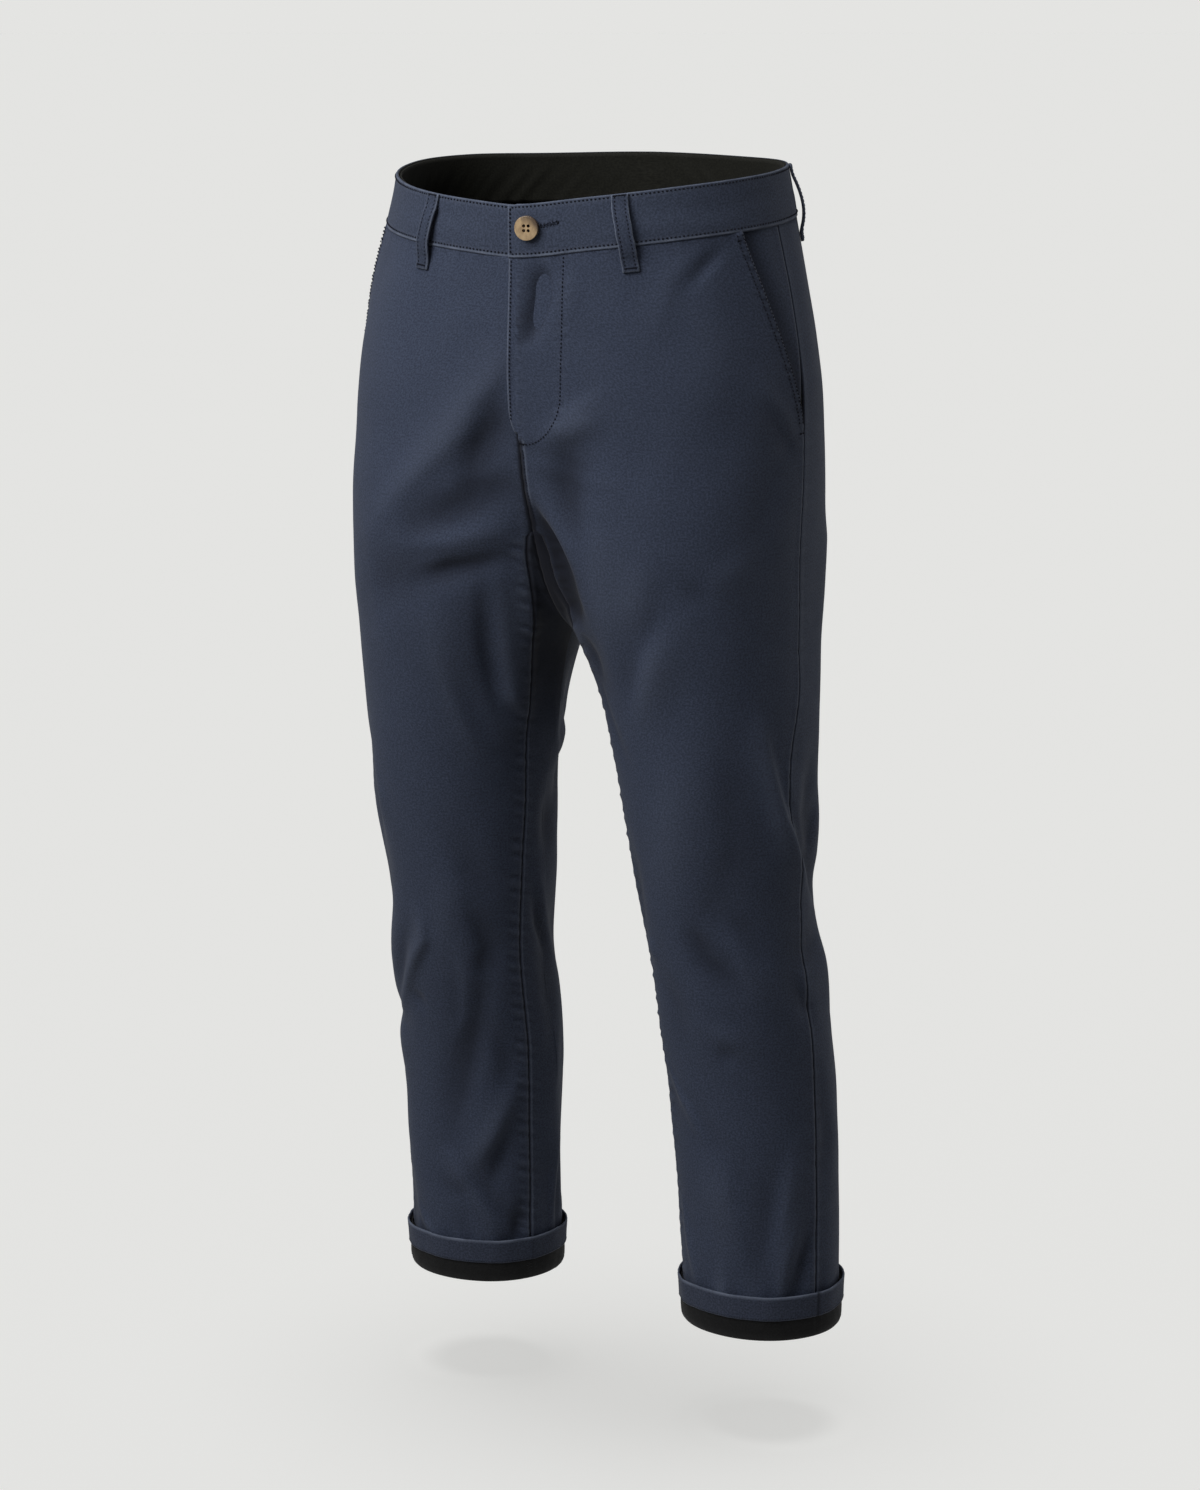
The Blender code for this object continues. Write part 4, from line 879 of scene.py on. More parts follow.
@dataclass(frozen=True)
class ThreadFinish:
    """Twisted sewing thread."""

    name: str
    # Darker than the cloth: the thread's own dark navy, deepened with painted shade of the stitch holes.
    colour: Colour = (0.006, 0.007, 0.013)
    roughness: float = 0.6

    def material(self) -> bpy.types.Material:
        """Build the material, with a fine twist in its colour and bump."""
        made, nodes, shader, coords = new_material(self.name)
        twist = nodes.noise(coords.outputs["Object"], 2600.0, 2.0, 0.6)
        nodes.fill(shader, Base_Color=nodes.blend(twist, tint(self.colour, 0.7), tint(self.colour, 1.7)),
                   Roughness=nodes.spread(twist, 0.3, 0.7, self.roughness, self.roughness + 0.2),
                   Specular_IOR_Level=0.15, Normal=nodes.bump(twist, 0.4, 0.08 * MM))
        return made


@dataclass(frozen=True)
class HornFinish:
    """Polished horn: tan, streaked and mottled with brown."""

    name: str
    light: Colour = (0.47, 0.33, 0.18)
    middle: Colour = (0.26, 0.165, 0.080)
    dark: Colour = (0.055, 0.032, 0.018)

    def material(self) -> bpy.types.Material:
        """Build the material from stretched noise on the button's own place."""
        made, nodes, shader, coords = new_material(self.name)
        turned = nodes.stretch(coords.outputs["Object"], (1.0, 1.0, 0.42), (0.0, 0.7, 0.0))
        streaks = nodes.noise(turned, 330.0, 4.0, 0.6)
        clouds = nodes.noise(turned, 120.0, 3.0, 0.5)
        split = nodes.add("ShaderNodeSeparateXYZ")
        nodes.feed(split.inputs[0], coords.outputs["Object"])
        corner = nodes.times(nodes.plus(split.outputs[0], split.outputs[2]), 42.0)
        corner = nodes.plus(corner, nodes.times(clouds, 0.9))
        colour = nodes.blend(nodes.spread(streaks, 0.36, 0.66), tint(self.light), tint(self.middle))
        colour = nodes.blend(nodes.spread(corner, -0.42, -0.06, 0.0, 0.9), colour, tint(self.dark))
        nodes.fill(shader, Base_Color=colour, Roughness=nodes.spread(streaks, 0.3, 0.7, 0.22, 0.38),
                   Coat_Weight=0.25, Coat_Roughness=0.15, Normal=nodes.bump(streaks, 0.12, 0.1 * MM))
        return made


class Wardrobe:
    """All the finishes of the trousers."""

    def __init__(self) -> None:
        """Build every material once."""
        groups = Groups()
        black = {"worn_and_highlight": (0.035, 0.035, 0.036), "deep": (0.003, 0.003, 0.003)}
        finishes = {
            "navy": TwillFinish("navy_twill"),
            "navy_right": TwillFinish("navy_twill_right", slant=-0.7),
            "band": TwillFinish("navy_twill_band", colour=(0.038, 0.048, 0.077), slant=1.4, relief=0.4),
            "loop": TwillFinish("navy_twill_loop", colour=(0.033, 0.042, 0.068), ribs=1200.0, relief=0.5),
            "hem": TwillFinish("navy_twill_hem", colour=(0.036, 0.044, 0.070), slant=-1.2),
            "black": TwillFinish("black_twill", colour=(0.0075, 0.0075, 0.0078), relief=0.3, sheen=0.04,
                                 **black),
            # Near black: the own colour of the waistband's lining, and on the inner faces of the panels and
            # facings also painted shade inside the garment.
            "inside": TwillFinish("black_inside", colour=(0.0105, 0.0105, 0.0080), relief=0.25, sheen=0.03,
                                  fading=0.6, **black),
        }
        self.twill = {name: finish.material(groups) for name, finish in finishes.items()}
        self.thread = ThreadFinish("navy_thread").material()
        self.black_thread = ThreadFinish("black_thread", colour=(0.020, 0.020, 0.021)).material()
        self.horn = HornFinish("horn").material()

    def navy(self, side: Side) -> bpy.types.Material:
        """Navy twill whose ribs slant as they do on that side's front."""
        return self.twill["navy" if side == Side.LEFT else "navy_right"]


# Meshes


def show(data: bpy.types.ID, *materials: bpy.types.Material) -> bpy.types.Object:
    """Put a mesh with its finishes, a light or a camera into the scene, under its own name."""
    for material in materials:
        data.materials.append(material)
    made = bpy.data.objects.new(data.name, data)
    bpy.context.scene.collection.objects.link(made)
    return made


def declare(piece: bpy.types.Object, slot: str, replaces: bool = True) -> None:
    """Let a piece ride on the trousers and, where it replaces a solid, hide that solid.

    Args:
        piece: The piece.
        slot: The slot's name.
        replaces: Whether the piece also stands for the solid of that name.
    """
    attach(piece, BODY)
    if replaces:
        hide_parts(slot)
    LOG.info("%s: %d faces", piece.name, len(piece.data.polygons))


class Skin:
    """A mesh in the making, with cloth coordinates in metres, a mask of rubbed wear with painted highlight
    and a mask of dark seams with painted shade.
    """

    def __init__(self, name: str) -> None:
        """Start an empty mesh."""
        self.name = name
        self.shape = bmesh.new()
        self.uv = self.shape.loops.layers.uv.new("cloth")
        self.wear_and_highlight = self.shape.verts.layers.float.new("wear_and_highlight")
        self.dark_seam_and_shade = self.shape.verts.layers.float.new("dark_seam_and_shade")

    def grid(self, points: Points, wear_and_highlight: Points, dark_seam_and_shade: Points) -> list[list[bmesh.types.BMVert]]:
        """Add a grid of corners.

        Args:
            points: Their places, by row and column.
            wear_and_highlight: Rubbed share, with painted highlight on fold and pucker crests, at each
                place.
            dark_seam_and_shade: Share darkened by seams and by painted shade at each place.

        Returns:
            The corners, by row and column.
        """
        grid = []
        for places, rubs, dips in zip(points, wear_and_highlight, dark_seam_and_shade):
            line = []
            for place, rub, dip in zip(places, rubs, dips):
                vert = self.shape.verts.new(place)
                vert[self.wear_and_highlight] = float(rub)
                vert[self.dark_seam_and_shade] = float(dip)
                line.append(vert)
            grid.append(line)
        return grid

    def face(self, corners: Sequence[bmesh.types.BMVert], coords: Sequence[Points],
             material: int = 0) -> None:
        """Add a smooth face with its corners' cloth coordinates and the number of its material."""
        face = self.shape.faces.new(corners)
        face.smooth = True
        face.material_index = material
        for loop, coord in zip(face.loops, coords):
            loop[self.uv].uv = coord

    def finish(self, slot: str, *materials: bpy.types.Material) -> bpy.types.Object:
        """Args:
            slot: Name of the solid that it stands for.
            *materials: Its finishes, in order.

        Returns:
            The piece.
        """
        mesh = bpy.data.meshes.new(self.name)
        self.shape.to_mesh(mesh)
        self.shape.free()
        made = show(mesh, *materials)
        declare(made, slot)
        return made


@dataclass
class Strip:
    """A grid of places on a piece: outer and inner points, cloth coordinates and masks."""

    outer: Points
    inner: Points
    coords: Points
    wear_and_highlight: Points | None = None
    dark_seam_and_shade: Points | None = None

    def __post_init__(self) -> None:
        """Leave the masks blank where they aren't given."""
        blank = np.zeros(self.outer.shape[:2])
        self.wear_and_highlight = blank if self.wear_and_highlight is None else self.wear_and_highlight
        self.dark_seam_and_shade = blank if self.dark_seam_and_shade is None else self.dark_seam_and_shade


class Shell:
    """A closed thin wall of cloth made from strips that share edges."""

    def __init__(self, name: str) -> None:
        """Start an empty shell."""
        self.name = name
        self.strips: list[tuple[Strip, bool]] = []

    def add(self, strip: Strip, flip: bool) -> None:
        """Add a strip, turned over where flip is true."""
        self.strips.append((strip, flip))

    def build(self, slot: str, outside: bpy.types.Material, inside: bpy.types.Material) -> bpy.types.Object:
        """Args:
            slot: Name of the solid that it stands for.
            outside: Material of the outer face and the edges.
            inside: Material of the inner face.

        Returns:
            The piece.
        """
        skin = Skin(self.name)
        for strip, flip in self.strips:
            rows, columns = strip.outer.shape[:2]
            blank = np.zeros((rows, columns))
            sheets = [skin.grid(strip.outer, strip.wear_and_highlight, strip.dark_seam_and_shade), skin.grid(strip.inner, blank, blank)]
            for inner, grid in enumerate(sheets):
                for r in range(rows - 1):
                    for k in range(columns - 1):
                        places = [(r, k), (r + 1, k), (r + 1, k + 1), (r, k + 1)]
                        if flip != bool(inner):
                            places.reverse()
                        coords = [strip.coords[spot] for spot in places]
                        skin.face([grid[a][b] for a, b in places], coords, inner)
            self.wall_edges(skin, sheets, strip, flip)
        bmesh.ops.remove_doubles(skin.shape, verts=skin.shape.verts, dist=0.01 * MM)
        self.drop_inner_walls(skin.shape)
        return skin.finish(slot, outside, inside)

    @staticmethod
    def wall_edges(skin: Skin, sheets: list, strip: Strip, flip: bool) -> None:
        """Join the outer and the inner face round the strip's border.

        Args:
            skin: The mesh in the making.
            sheets: Corners of the outer and of the inner face, by row and column.
            strip: The strip.
            flip: Whether it is turned over.
        """
        outer, inner = sheets
        rows, columns = strip.outer.shape[:2]
        border = [(0, k) for k in range(columns)] + [(r, columns - 1) for r in range(1, rows)]
        border += [(rows - 1, k) for k in range(columns - 2, -1, -1)]
        border += [(r, 0) for r in range(rows - 2, 0, -1)]
        for (a, b), (c, d) in zip(border, border[1:] + border[:1]):
            corners = [outer[a][b], outer[c][d], inner[c][d], inner[a][b]]
            places = [(a, b), (c, d), (c, d), (a, b)]
            if flip:
                corners.reverse()
                places.reverse()
            skin.face(corners, [strip.coords[spot] for spot in places])

    @staticmethod
    def drop_inner_walls(shape: bmesh.types.BMesh) -> None:
        """Remove the pairs of wall faces that lie on each other where two strips meet."""
        seen: dict[frozenset, bmesh.types.BMFace] = {}
        doubled = []
        for face in shape.faces:
            key = frozenset(vert.index for vert in face.verts)
            if key in seen:
                doubled += [face, seen[key]]
            seen[key] = face
        if doubled:
            bmesh.ops.delete(shape, geom=list(set(doubled)), context="FACES")


def spaced(length: float, step: float, edges: Sequence[float]) -> Points:
    """Positions along a length, close together at both ends.

    Args:
        length: The whole length.
        step: Usual spacing in the middle.
        edges: Distances from each end that get a position of their own, starting with 0.

    Returns:
        Positions from 0 to the length.
    """
    last = edges[-1]
    count = max(int(round((length - 2 * last) / step)), 2)
    middle = np.linspace(last, length - last, count + 1)
    return np.concatenate([np.asarray(edges)[:-1], middle, length - np.asarray(edges)[:-1][::-1]])


@dataclass
class Piece:
    """What every piece of the trousers needs: the cloth that it lies on and the finishes."""

    cloth: Cloth
    wardrobe: Wardrobe


# Panels


@dataclass
class Panel(Piece):
    """Shared sizes and tools of the front and back panels."""

    side: Side
    step: float = 3.2 * MM
    edges: tuple[float, ...] = (0.0, 0.5 * MM, 1.1 * MM, 1.9 * MM, 3.0 * MM, 4.6 * MM, 7.0 * MM)
    groove_depth: float = 0.75 * MM
    groove_width: float = 0.75 * MM
    welt: float = 0.45 * MM
    welt_place: float = 3.4 * MM
    welt_width: float = 2.4 * MM
    top_shade: float = 0.45
    top_shade_width: float = 1.2 * MM

    def depths(self) -> Points:
        """Depths of the rows, closer together at the crotch."""
        form = self.cloth.form
        crotch = form.crotch(self.side)
        upper = np.linspace(form.band - 1 * MM, form.fork, 1 + int((form.fork - form.band) / self.step))
        closing = form.fork + (crotch - form.fork) * np.sin(np.linspace(0, math.pi / 2, 34))
        thigh = crotch + (form.thigh - crotch) * (1 - np.cos(np.linspace(0, math.pi / 2, 16)))
        leg = np.linspace(form.thigh, form.panel_end, 1 + int((form.panel_end - form.thigh) / self.step))
        rows = np.unique(np.round(np.concatenate([upper, closing, thigh, leg]), 7))
        return rows[np.concatenate([[True], np.diff(rows) > 0.02 * MM])]

    def lengthwise(self, depths: Points, start: Points, end: Points,
                   edges: Sequence[float]) -> tuple[Points, Points, Points, Points]:
        """Grid whose columns keep their distance from both side edges.

        Args:
            depths: Depths of the rows.
            start: Angle of the first edge in each row.
            end: Angle of the last edge in each row.
            edges: Distances from the edges that get a column of their own.

        Returns:
            Depths and angles of the grid, and the distances of each place from the first and the last edge.
        """
        fine = start[:, None] + (end - start)[:, None] * np.linspace(0, 1, 60)
        across = self.cloth.place(self.side, depths[:, None] + 0 * fine, fine, fine=False)
        length = np.array([distances(row) for row in across])
        widest = length[:, -1].max()
        pattern = spaced(widest, self.step, edges)
        angles = np.zeros((len(depths), len(pattern)))
        run = np.zeros_like(angles)
        last = edges[-1]
        for r, total in enumerate(length[:, -1]):
            scale = min(1.0, total / (2.6 * last))
            inner = (total - 2 * last * scale) / (widest - 2 * last)
            place = np.where(pattern <= last, pattern * scale, last * scale + (pattern - last) * inner)
            place = np.where(pattern >= widest - last, total - (widest - pattern) * scale, place)
            run[r] = place
            angles[r] = np.interp(place, length[r], fine[r])
        return depths[:, None] + 0 * angles, angles, run, run[:, -1:] - run

    def seam_profile(self, distance: Points) -> Points:
        """Height of the cloth beside a seam: drawn in at the stitches, with a soft welt next to them."""
        welt = self.welt * bell(distance - self.welt_place, self.welt_width)
        return welt - self.groove_depth * bell(distance, self.groove_width)

    def seam_masks(self, distance: Points) -> tuple[Points, Points]:
        """Rubbed and darkened shares beside a seam."""
        return 0.38 * bell(distance - 2.0 * MM, 0.8 * MM), bell(distance, self.groove_width)

    def strip(self, deep: Points, angles: Points, out: Points, wear_and_highlight: Points, dark_seam_and_shade: Points,
              along: Points) -> Strip:
        """Strip of the panel.

        Args:
            deep: Depths of the grid.
            angles: Angles of the grid.
            out: Distances out of the cloth's surface.
            wear_and_highlight: Rubbed shares, before the painted highlight on the crests of the folds and
                puckers is added.
            dark_seam_and_shade: Shares darkened by seams and by painted shade, before the painted shade in
                the troughs of the folds and puckers and in the tuck's hollow is added.
            along: Crosswise cloth coordinates.

        Returns:
            The strip.
        """
        outer = self.cloth.place(self.side, deep, angles, out)
        inner = self.cloth.place(self.side, deep, angles, out - self.cloth.wall)
        relief = self.cloth.folds(self.side, deep, angles) / MM
        ropes = self.cloth.puckers(self.side, deep, angles) / MM
        tuck = self.cloth.tuck(self.side, deep, angles) / MM
        # Lighter on the crests of the folds and puckers, partly rubbed wear and partly painted highlight;
        # darker in their troughs, which is painted shade.
        wear_and_highlight = np.clip(wear_and_highlight, 0, 1) + 0.08 * np.clip(relief / 4, 0, 1) + 0.13 * np.clip(ropes / 0.5, 0, 1)
        dark_seam_and_shade = np.clip(dark_seam_and_shade, 0, 1) + 0.52 * np.clip(-relief / 6, 0, 1)
        dark_seam_and_shade = dark_seam_and_shade + 0.30 * np.clip(-ropes / 0.5, 0, 1)
        # Painted shade in the tuck's hollow below the fork, where the painted highlight is taken away as
        # well.
        wear_and_highlight = np.clip(wear_and_highlight, 0, 1) * np.clip(1 + tuck / 3, 0, 1)
        dark_seam_and_shade = np.clip(dark_seam_and_shade + 0.9 * np.clip(-tuck / 7, 0, 1), 0, 1)
        return Strip(outer, inner, np.stack([along, -deep], -1), wear_and_highlight, dark_seam_and_shade)


@dataclass
class FrontPanel(Panel):
    """Front panel, with the pocket's folded edge and, on the left, the lap of the fly."""

    lap_width: float = 8 * MM
    lap_round: float = 25 * MM
    lap_columns: tuple[float, ...] = (1.0, 0.965, 0.92, 0.86, 0.76, 0.62, 0.42, 0.2)
    pocket_lift: float = 1.3 * MM
    pocket_fold: float = 0.9 * MM

    def build(self) -> None:
        form, left, node = self.cloth.form, self.side == Side.LEFT, f"front_{self.side.word}"
        depths = self.depths()
        start = form.inseam_angle(self.side, depths)
        end = np.where(depths < form.pocket_end, form.pocket_angle(depths), form.side_seam_angle(depths))
        deep, angles, from_start, from_end = self.lengthwise(depths, start, end, self.edges)
        lapped = (deep < form.fly_end + 4 * MM) & left
        start_seam = np.where(lapped, 0, self.seam_profile(from_start)) * np.where(deep < form.fork, 0.45, 1)
        pocket = ease((form.pocket_end - deep) / (12 * MM))
        fold = self.pocket_lift * bell(from_end, 9 * MM) - self.pocket_fold * bell(from_end, 0.8 * MM)
        out = self.cloth.fly_rise(self.side, deep, angles) + start_seam + fold * pocket
        out += self.seam_profile(from_end) * (1 - pocket)
        wear_start, groove_start = self.seam_masks(from_start)
        wear_end, groove_end = self.seam_masks(from_end)
        wear_and_highlight = np.where(lapped | ((deep <= form.fork) & (not left)), 0, wear_start) + wear_end * (1 - pocket)
        wear_and_highlight += 0.40 * bell(from_end - 0.4 * MM, 1.0 * MM) * pocket
        dark_seam_and_shade = np.where(lapped, 0, groove_start) + groove_end * (1 - pocket)
        dark_seam_and_shade += self.top_shade * bell(deep - form.band, self.top_shade_width)
        strip = self.strip(deep, angles, out, wear_and_highlight, dark_seam_and_shade, -from_end if left else from_end)
        shell = Shell(f"{node}_cloth")
        shell.add(strip, not left)
        if left:
            shell.add(self.lap(depths, strip), False)
        panel = shell.build(node, self.wardrobe.navy(self.side), self.wardrobe.twill["inside"])

    def lap(self, depths: Points, panel: Strip) -> Strip:
        """The part of the left front that laps past the middle, with its folded edge.

        Args:
            depths: Depths of the panel's rows.
            panel: The panel's own strip, whose first column the lap shares.

        Returns:
            The lap's strip.
        """
        form = self.cloth.form
        rows = depths <= form.fly_end
        deep = depths[rows][:, None]
        left = np.clip((form.fly_end - deep) / self.lap_round, 0, 1)
        width = self.lap_width * np.sqrt(np.maximum(1 - (1 - left) ** 2, 0)) + 0.05 * MM
        x = -width * self.lap_columns
        out = self.cloth.fly_step - 0.75 * MM * bell(width + x, 0.6 * MM)
        outer = np.concatenate([self.cloth.front(x, deep, out), panel.outer[rows][:, :1]], axis=1)
        inner = np.concatenate([self.cloth.front(x, deep, 0.35 * MM), panel.inner[rows][:, :1]], axis=1)
        across = np.concatenate([x, 0 * deep], axis=1)
        coords = np.stack([panel.coords[rows][:, :1, 0] + across, -(deep + 0 * across)], -1)
        return Strip(outer, inner, coords, 0.42 * bell(width + across - 0.5 * MM, 0.9 * MM))


@dataclass
class BackPanel(Panel):
    """Back panel, which comes forward under the crotch to the inseam."""

    rise_fade: float = 10 * MM
    front_edges: tuple[float, ...] = (0.0, 0.5 * MM, 1.1 * MM, 2.0 * MM, 3.4 * MM)
    shade_between_thighs: float = 0.75

    def build(self) -> None:
        form, node = self.cloth.form, f"back_{self.side.word}"
        depths = self.depths()
        shell = Shell(f"{node}_cloth")
        ends = (form.side_seam_angle(depths), form.open_angle(self.side, depths, behind=True))
        strip = self.part(shell, depths, ends, False, 0.0)
        lower = depths[depths >= form.fork - 0.01 * MM]
        start = -form.open_angle(self.side, lower)
        ends = (start, np.maximum(form.inseam_angle(self.side, lower), start + 0.002))
        self.part(shell, lower, ends, True, np.interp(lower, depths, strip.coords[:, -1, 0])[:, None])
        panel = shell.build(node, self.wardrobe.navy(Side(-self.side)), self.wardrobe.twill["inside"])

    def part(self, shell: Shell, depths: Points, ends: tuple[Points, Points], forward: bool,
             joined: Points) -> Strip:
        """Add the part behind the side seam, or the one that comes forward under the crotch.

        Args:
            shell: The panel's shell.
            depths: Depths of the rows.
            ends: Angles of the first and the last edge in each row.
            forward: Whether this is the part that comes forward.
            joined: Crosswise cloth coordinate of its first edge.

        Returns:
            The strip.
        """
        form = self.cloth.form
        crotch = form.crotch(self.side)
        edges = self.front_edges if forward else self.edges
        deep, angles, from_start, from_end = self.lengthwise(depths, *ends, edges)
        whole, rising = (from_end, from_start) if forward else (from_start, from_end)
        share = np.where(deep < crotch, ease((crotch - deep) / self.rise_fade), 0)
        out = self.seam_profile(whole) + self.seam_profile(rising) * share
        masks = zip(self.seam_masks(whole), self.seam_masks(rising))
        wear_and_highlight, dark_seam_and_shade = (full + part * share for full, part in masks)
        if forward:
            # Painted shade on the part that comes forward between the thighs.
            inner_leg = ease((deep - 255 * MM) / (25 * MM)) * ease((460 * MM - deep) / (80 * MM))
            dark_seam_and_shade = dark_seam_and_shade + self.shade_between_thighs * inner_leg
        else:
            dark_seam_and_shade = dark_seam_and_shade + self.top_shade * bell(deep - form.band, self.top_shade_width)
        strip = self.strip(deep, angles, out, wear_and_highlight, dark_seam_and_shade, joined + from_start * self.side)
        shell.add(strip, self.side == Side.RIGHT)
        return strip


@dataclass
class PocketFacing(Panel):
    """The piece of the side that shows behind the slant opening."""

    underlay: float = 10 * MM
    sink: float = 3.0 * MM

    def build(self) -> None:
        form, node = self.cloth.form, f"pocket_facing_{self.side.word}"
        depths = np.linspace(form.band - 1 * MM, form.pocket_end - 1 * MM, 50)
        opening = form.pocket_angle(depths)
        start = opening - self.underlay / form.waist_half_depth
        edges = (0.0, 0.5 * MM, 1.1 * MM, 2.0 * MM, 3.2 * MM)
        deep, angles, run, from_end = self.lengthwise(depths, start, form.side_seam_angle(depths), edges)
        share = np.clip((angles - opening[:, None]) / math.radians(form.pocket_swing), 0, 1)
        out = -self.sink * (1 - ease(2 * share)) + self.seam_profile(from_end)
        wear_and_highlight, dark_seam_and_shade = self.seam_masks(from_end)
        # Painted shade where the facing sinks behind the pocket's opening.
        dark_seam_and_shade = dark_seam_and_shade + 0.5 * (1 - ease(1.6 * share))
        shell = Shell(f"{node}_cloth")
        shell.add(self.strip(deep, angles, out, wear_and_highlight, dark_seam_and_shade, run), self.side == Side.RIGHT)
        facing = shell.build(node, self.wardrobe.navy(self.side), self.wardrobe.twill["inside"])


@dataclass
class FlyUnderlap(Piece):
    """Strip behind the fly's opening, which shows only from inside the waist."""

    edges: tuple[float, float] = (-9 * MM, 32 * MM)
    top: float = 42 * MM
    bottom: float = 186 * MM
    sink: float = 2.6 * MM
    wall: float = 1.8 * MM

    def build(self) -> None:
        x, deep = np.meshgrid(np.linspace(*self.edges, 16), np.linspace(self.top, self.bottom, 48))
        outer = self.cloth.front(x, deep, -self.sink, fine=False)
        inner = self.cloth.front(x, deep, -self.sink - self.wall, fine=False)
        shell = Shell("fly_underlap_cloth")
        shell.add(Strip(outer, inner, np.stack([x, -deep], -1)), False)
        strip = shell.build("fly_shield", self.wardrobe.navy(Side.LEFT), self.wardrobe.twill["inside"])


# Waist


@dataclass
class Waistband(Piece):
    """Half of the folded waistband, from its end at the fly to the centre back seam.

    The profile's columns are depth and distance out, in millimetres, wear and groove. Those of the creases
    are depth, start, end, width and height, in millimetres.
    """

    side: Side
    profile: Rows = (
        (39.95, -0.9, 0, 0.5), (40.0, -0.1, 0, 0.6), (39.8, 0.5, 0, 0.5), (39.4, 0.9, 0.1, 0.1),
        (38.9, 1.05, 0.5, 0), (38.3, 1.08, 0.65, 0), (37.7, 1.0, 0.35, 0), (37.2, 0.92, 0.1, 0),
        (36.8, 0.9, 0.1, 0), (36.4, 0.9, 0.1, 0), (35.7, 1.0, 0.1, 0), (34, 1.15, 0, 0), (30, 1.25, 0, 0),
        (25, 1.3, 0, 0), (20, 1.3, 0, 0), (15, 1.3, 0, 0), (10, 1.25, 0, 0), (5.5, 1.15, 0, 0),
        (3.3, 1.02, 0.1, 0), (2.6, 0.92, 0.1, 0), (2.3, 0.88, 0.1, 0), (1.9, 0.88, 0.1, 0),
        (1.5, 0.92, 0.1, 0), (1.0, 0.96, 0.2, 0), (0.5, 0.85, 0.45, 0), (0.05, 0.4, 0.35, 0),
        (-0.1, -0.4, 0, 0.2), (0.1, -1.1, 0, 0.3), (0.8, -1.6, 0, 0), (3, -1.75, 0, 0), (12, -1.8, 0, 0),
        (28, -1.8, 0, 0), (38.5, -1.75, 0, 0), (39.6, -1.45, 0, 0),
    )
    lap_rise: float = 2.4 * MM
    lap_blend: float = 45 * MM
    lap_end: float = -8 * MM
    underlap_end: float = 32 * MM
    under: float = 3.4 * MM
    step: float = 2.4 * MM
    middle: float = 20 * MM
    core: float = -0.35 * MM
    stitch_rows: tuple[float, float] = (2.1 * MM, 36.6 * MM)
    creases: Rows = (
        (17, 40, 230, 5.0, -0.6), (26, 60, 300, 6.0, 0.5), (12, 150, 380, 6.0, 0.35),
        (15, -150, -12, 4.0, -0.8), (24, -150, -20, 6.0, 0.5), (12, 45, 105, 4.0, -0.5),
        (27, 110, 250, 5.0, -0.5),
    )

    def out_at(self, x: Points) -> Points:
        """Extra distance out of the form near the fly, where the right half dips under the left one."""
        lap = self.lap_rise * (1 - ease(x / self.lap_blend))
        return lap if self.side == Side.LEFT else (lap - self.under) * ease((x + 35 * MM) / (25 * MM))

    def build(self) -> None:
        form, word = self.cloth.form, self.side.word
        end = self.lap_end if self.side == Side.LEFT else self.underlap_end
        ends = np.array([0.0, 0.35, 0.8, 1.5, 2.4]) * MM
        count = max(int(abs(end) / self.step), 2)
        past = np.unique(np.concatenate([ends, np.linspace(ends[-1], abs(end), count)[:-1]]))
        past_x = end - np.sign(end) * past
        opened = form.open_angle(self.side, self.middle)
        fine = np.linspace(-opened, form.open_angle(self.side, self.middle, behind=True), 900)
        run = distances(self.cloth.place(self.side, np.full(900, self.middle), fine, fine=False))
        seam = np.array([0.0, 0.4, 0.9, 1.6, 2.8]) * MM
        even = np.linspace(0, run[-1] - seam[-1], int(run[-1] / self.step))
        places = np.concatenate([even, run[-1] - seam[:-1][::-1]])
        from_seam = run[-1] - places
        squeeze = np.sqrt(np.maximum(1 - (1 - np.clip(past / (1.5 * MM), 0, 1)) ** 2, 0))
        length = np.concatenate([-np.abs(past_x), places])
        in_seam = np.concatenate([np.zeros(len(past)), bell(from_seam, 0.6 * MM)])
        rows, coords, wears, grooves = [], [], [], []
        for height, level, wear_and_highlight, dark_seam_and_shade in self.profile:
            depth, face = height * MM, level > 0.3
            angle = np.interp(places, run, fine)
            front_scale = form.open_angle(self.side, max(depth, 0.0)) / opened
            angle = np.where(angle < 0, angle * front_scale, angle)
            x, y = form.outline(self.side, np.full(angle.shape, max(depth, 0.0)), angle)
            out = level * MM + np.where(y < 0, self.out_at(self.side * x), 0)
            out = out - (0.7 * MM * bell(from_seam, 0.9 * MM) if level > -0.9 else 0)
            out = out + (self.relief(depth, places) if face else 0)
            past_out = self.core + (level * MM - self.core) * (0.25 + 0.75 * squeeze) + self.out_at(past_x)
            head = self.cloth.front(past_x, depth, past_out, fine=False)
            rows.append(np.concatenate([head, self.cloth.place(self.side, depth, angle, out, fine=False)]))
            coords.append(np.stack([length, np.full(length.shape, -depth)], -1))
            rub = wear_and_highlight + np.zeros(length.shape)
            rub[:3] = max(wear_and_highlight, 0.55) if face else wear_and_highlight
            wears.append(rub * (0.75 + 0.25 * ripple(length, 23 * MM, 1.3 * self.side)))
            grooves.append(dark_seam_and_shade + 0.8 * in_seam)
        band = self.tube(rows, coords, wears, grooves)

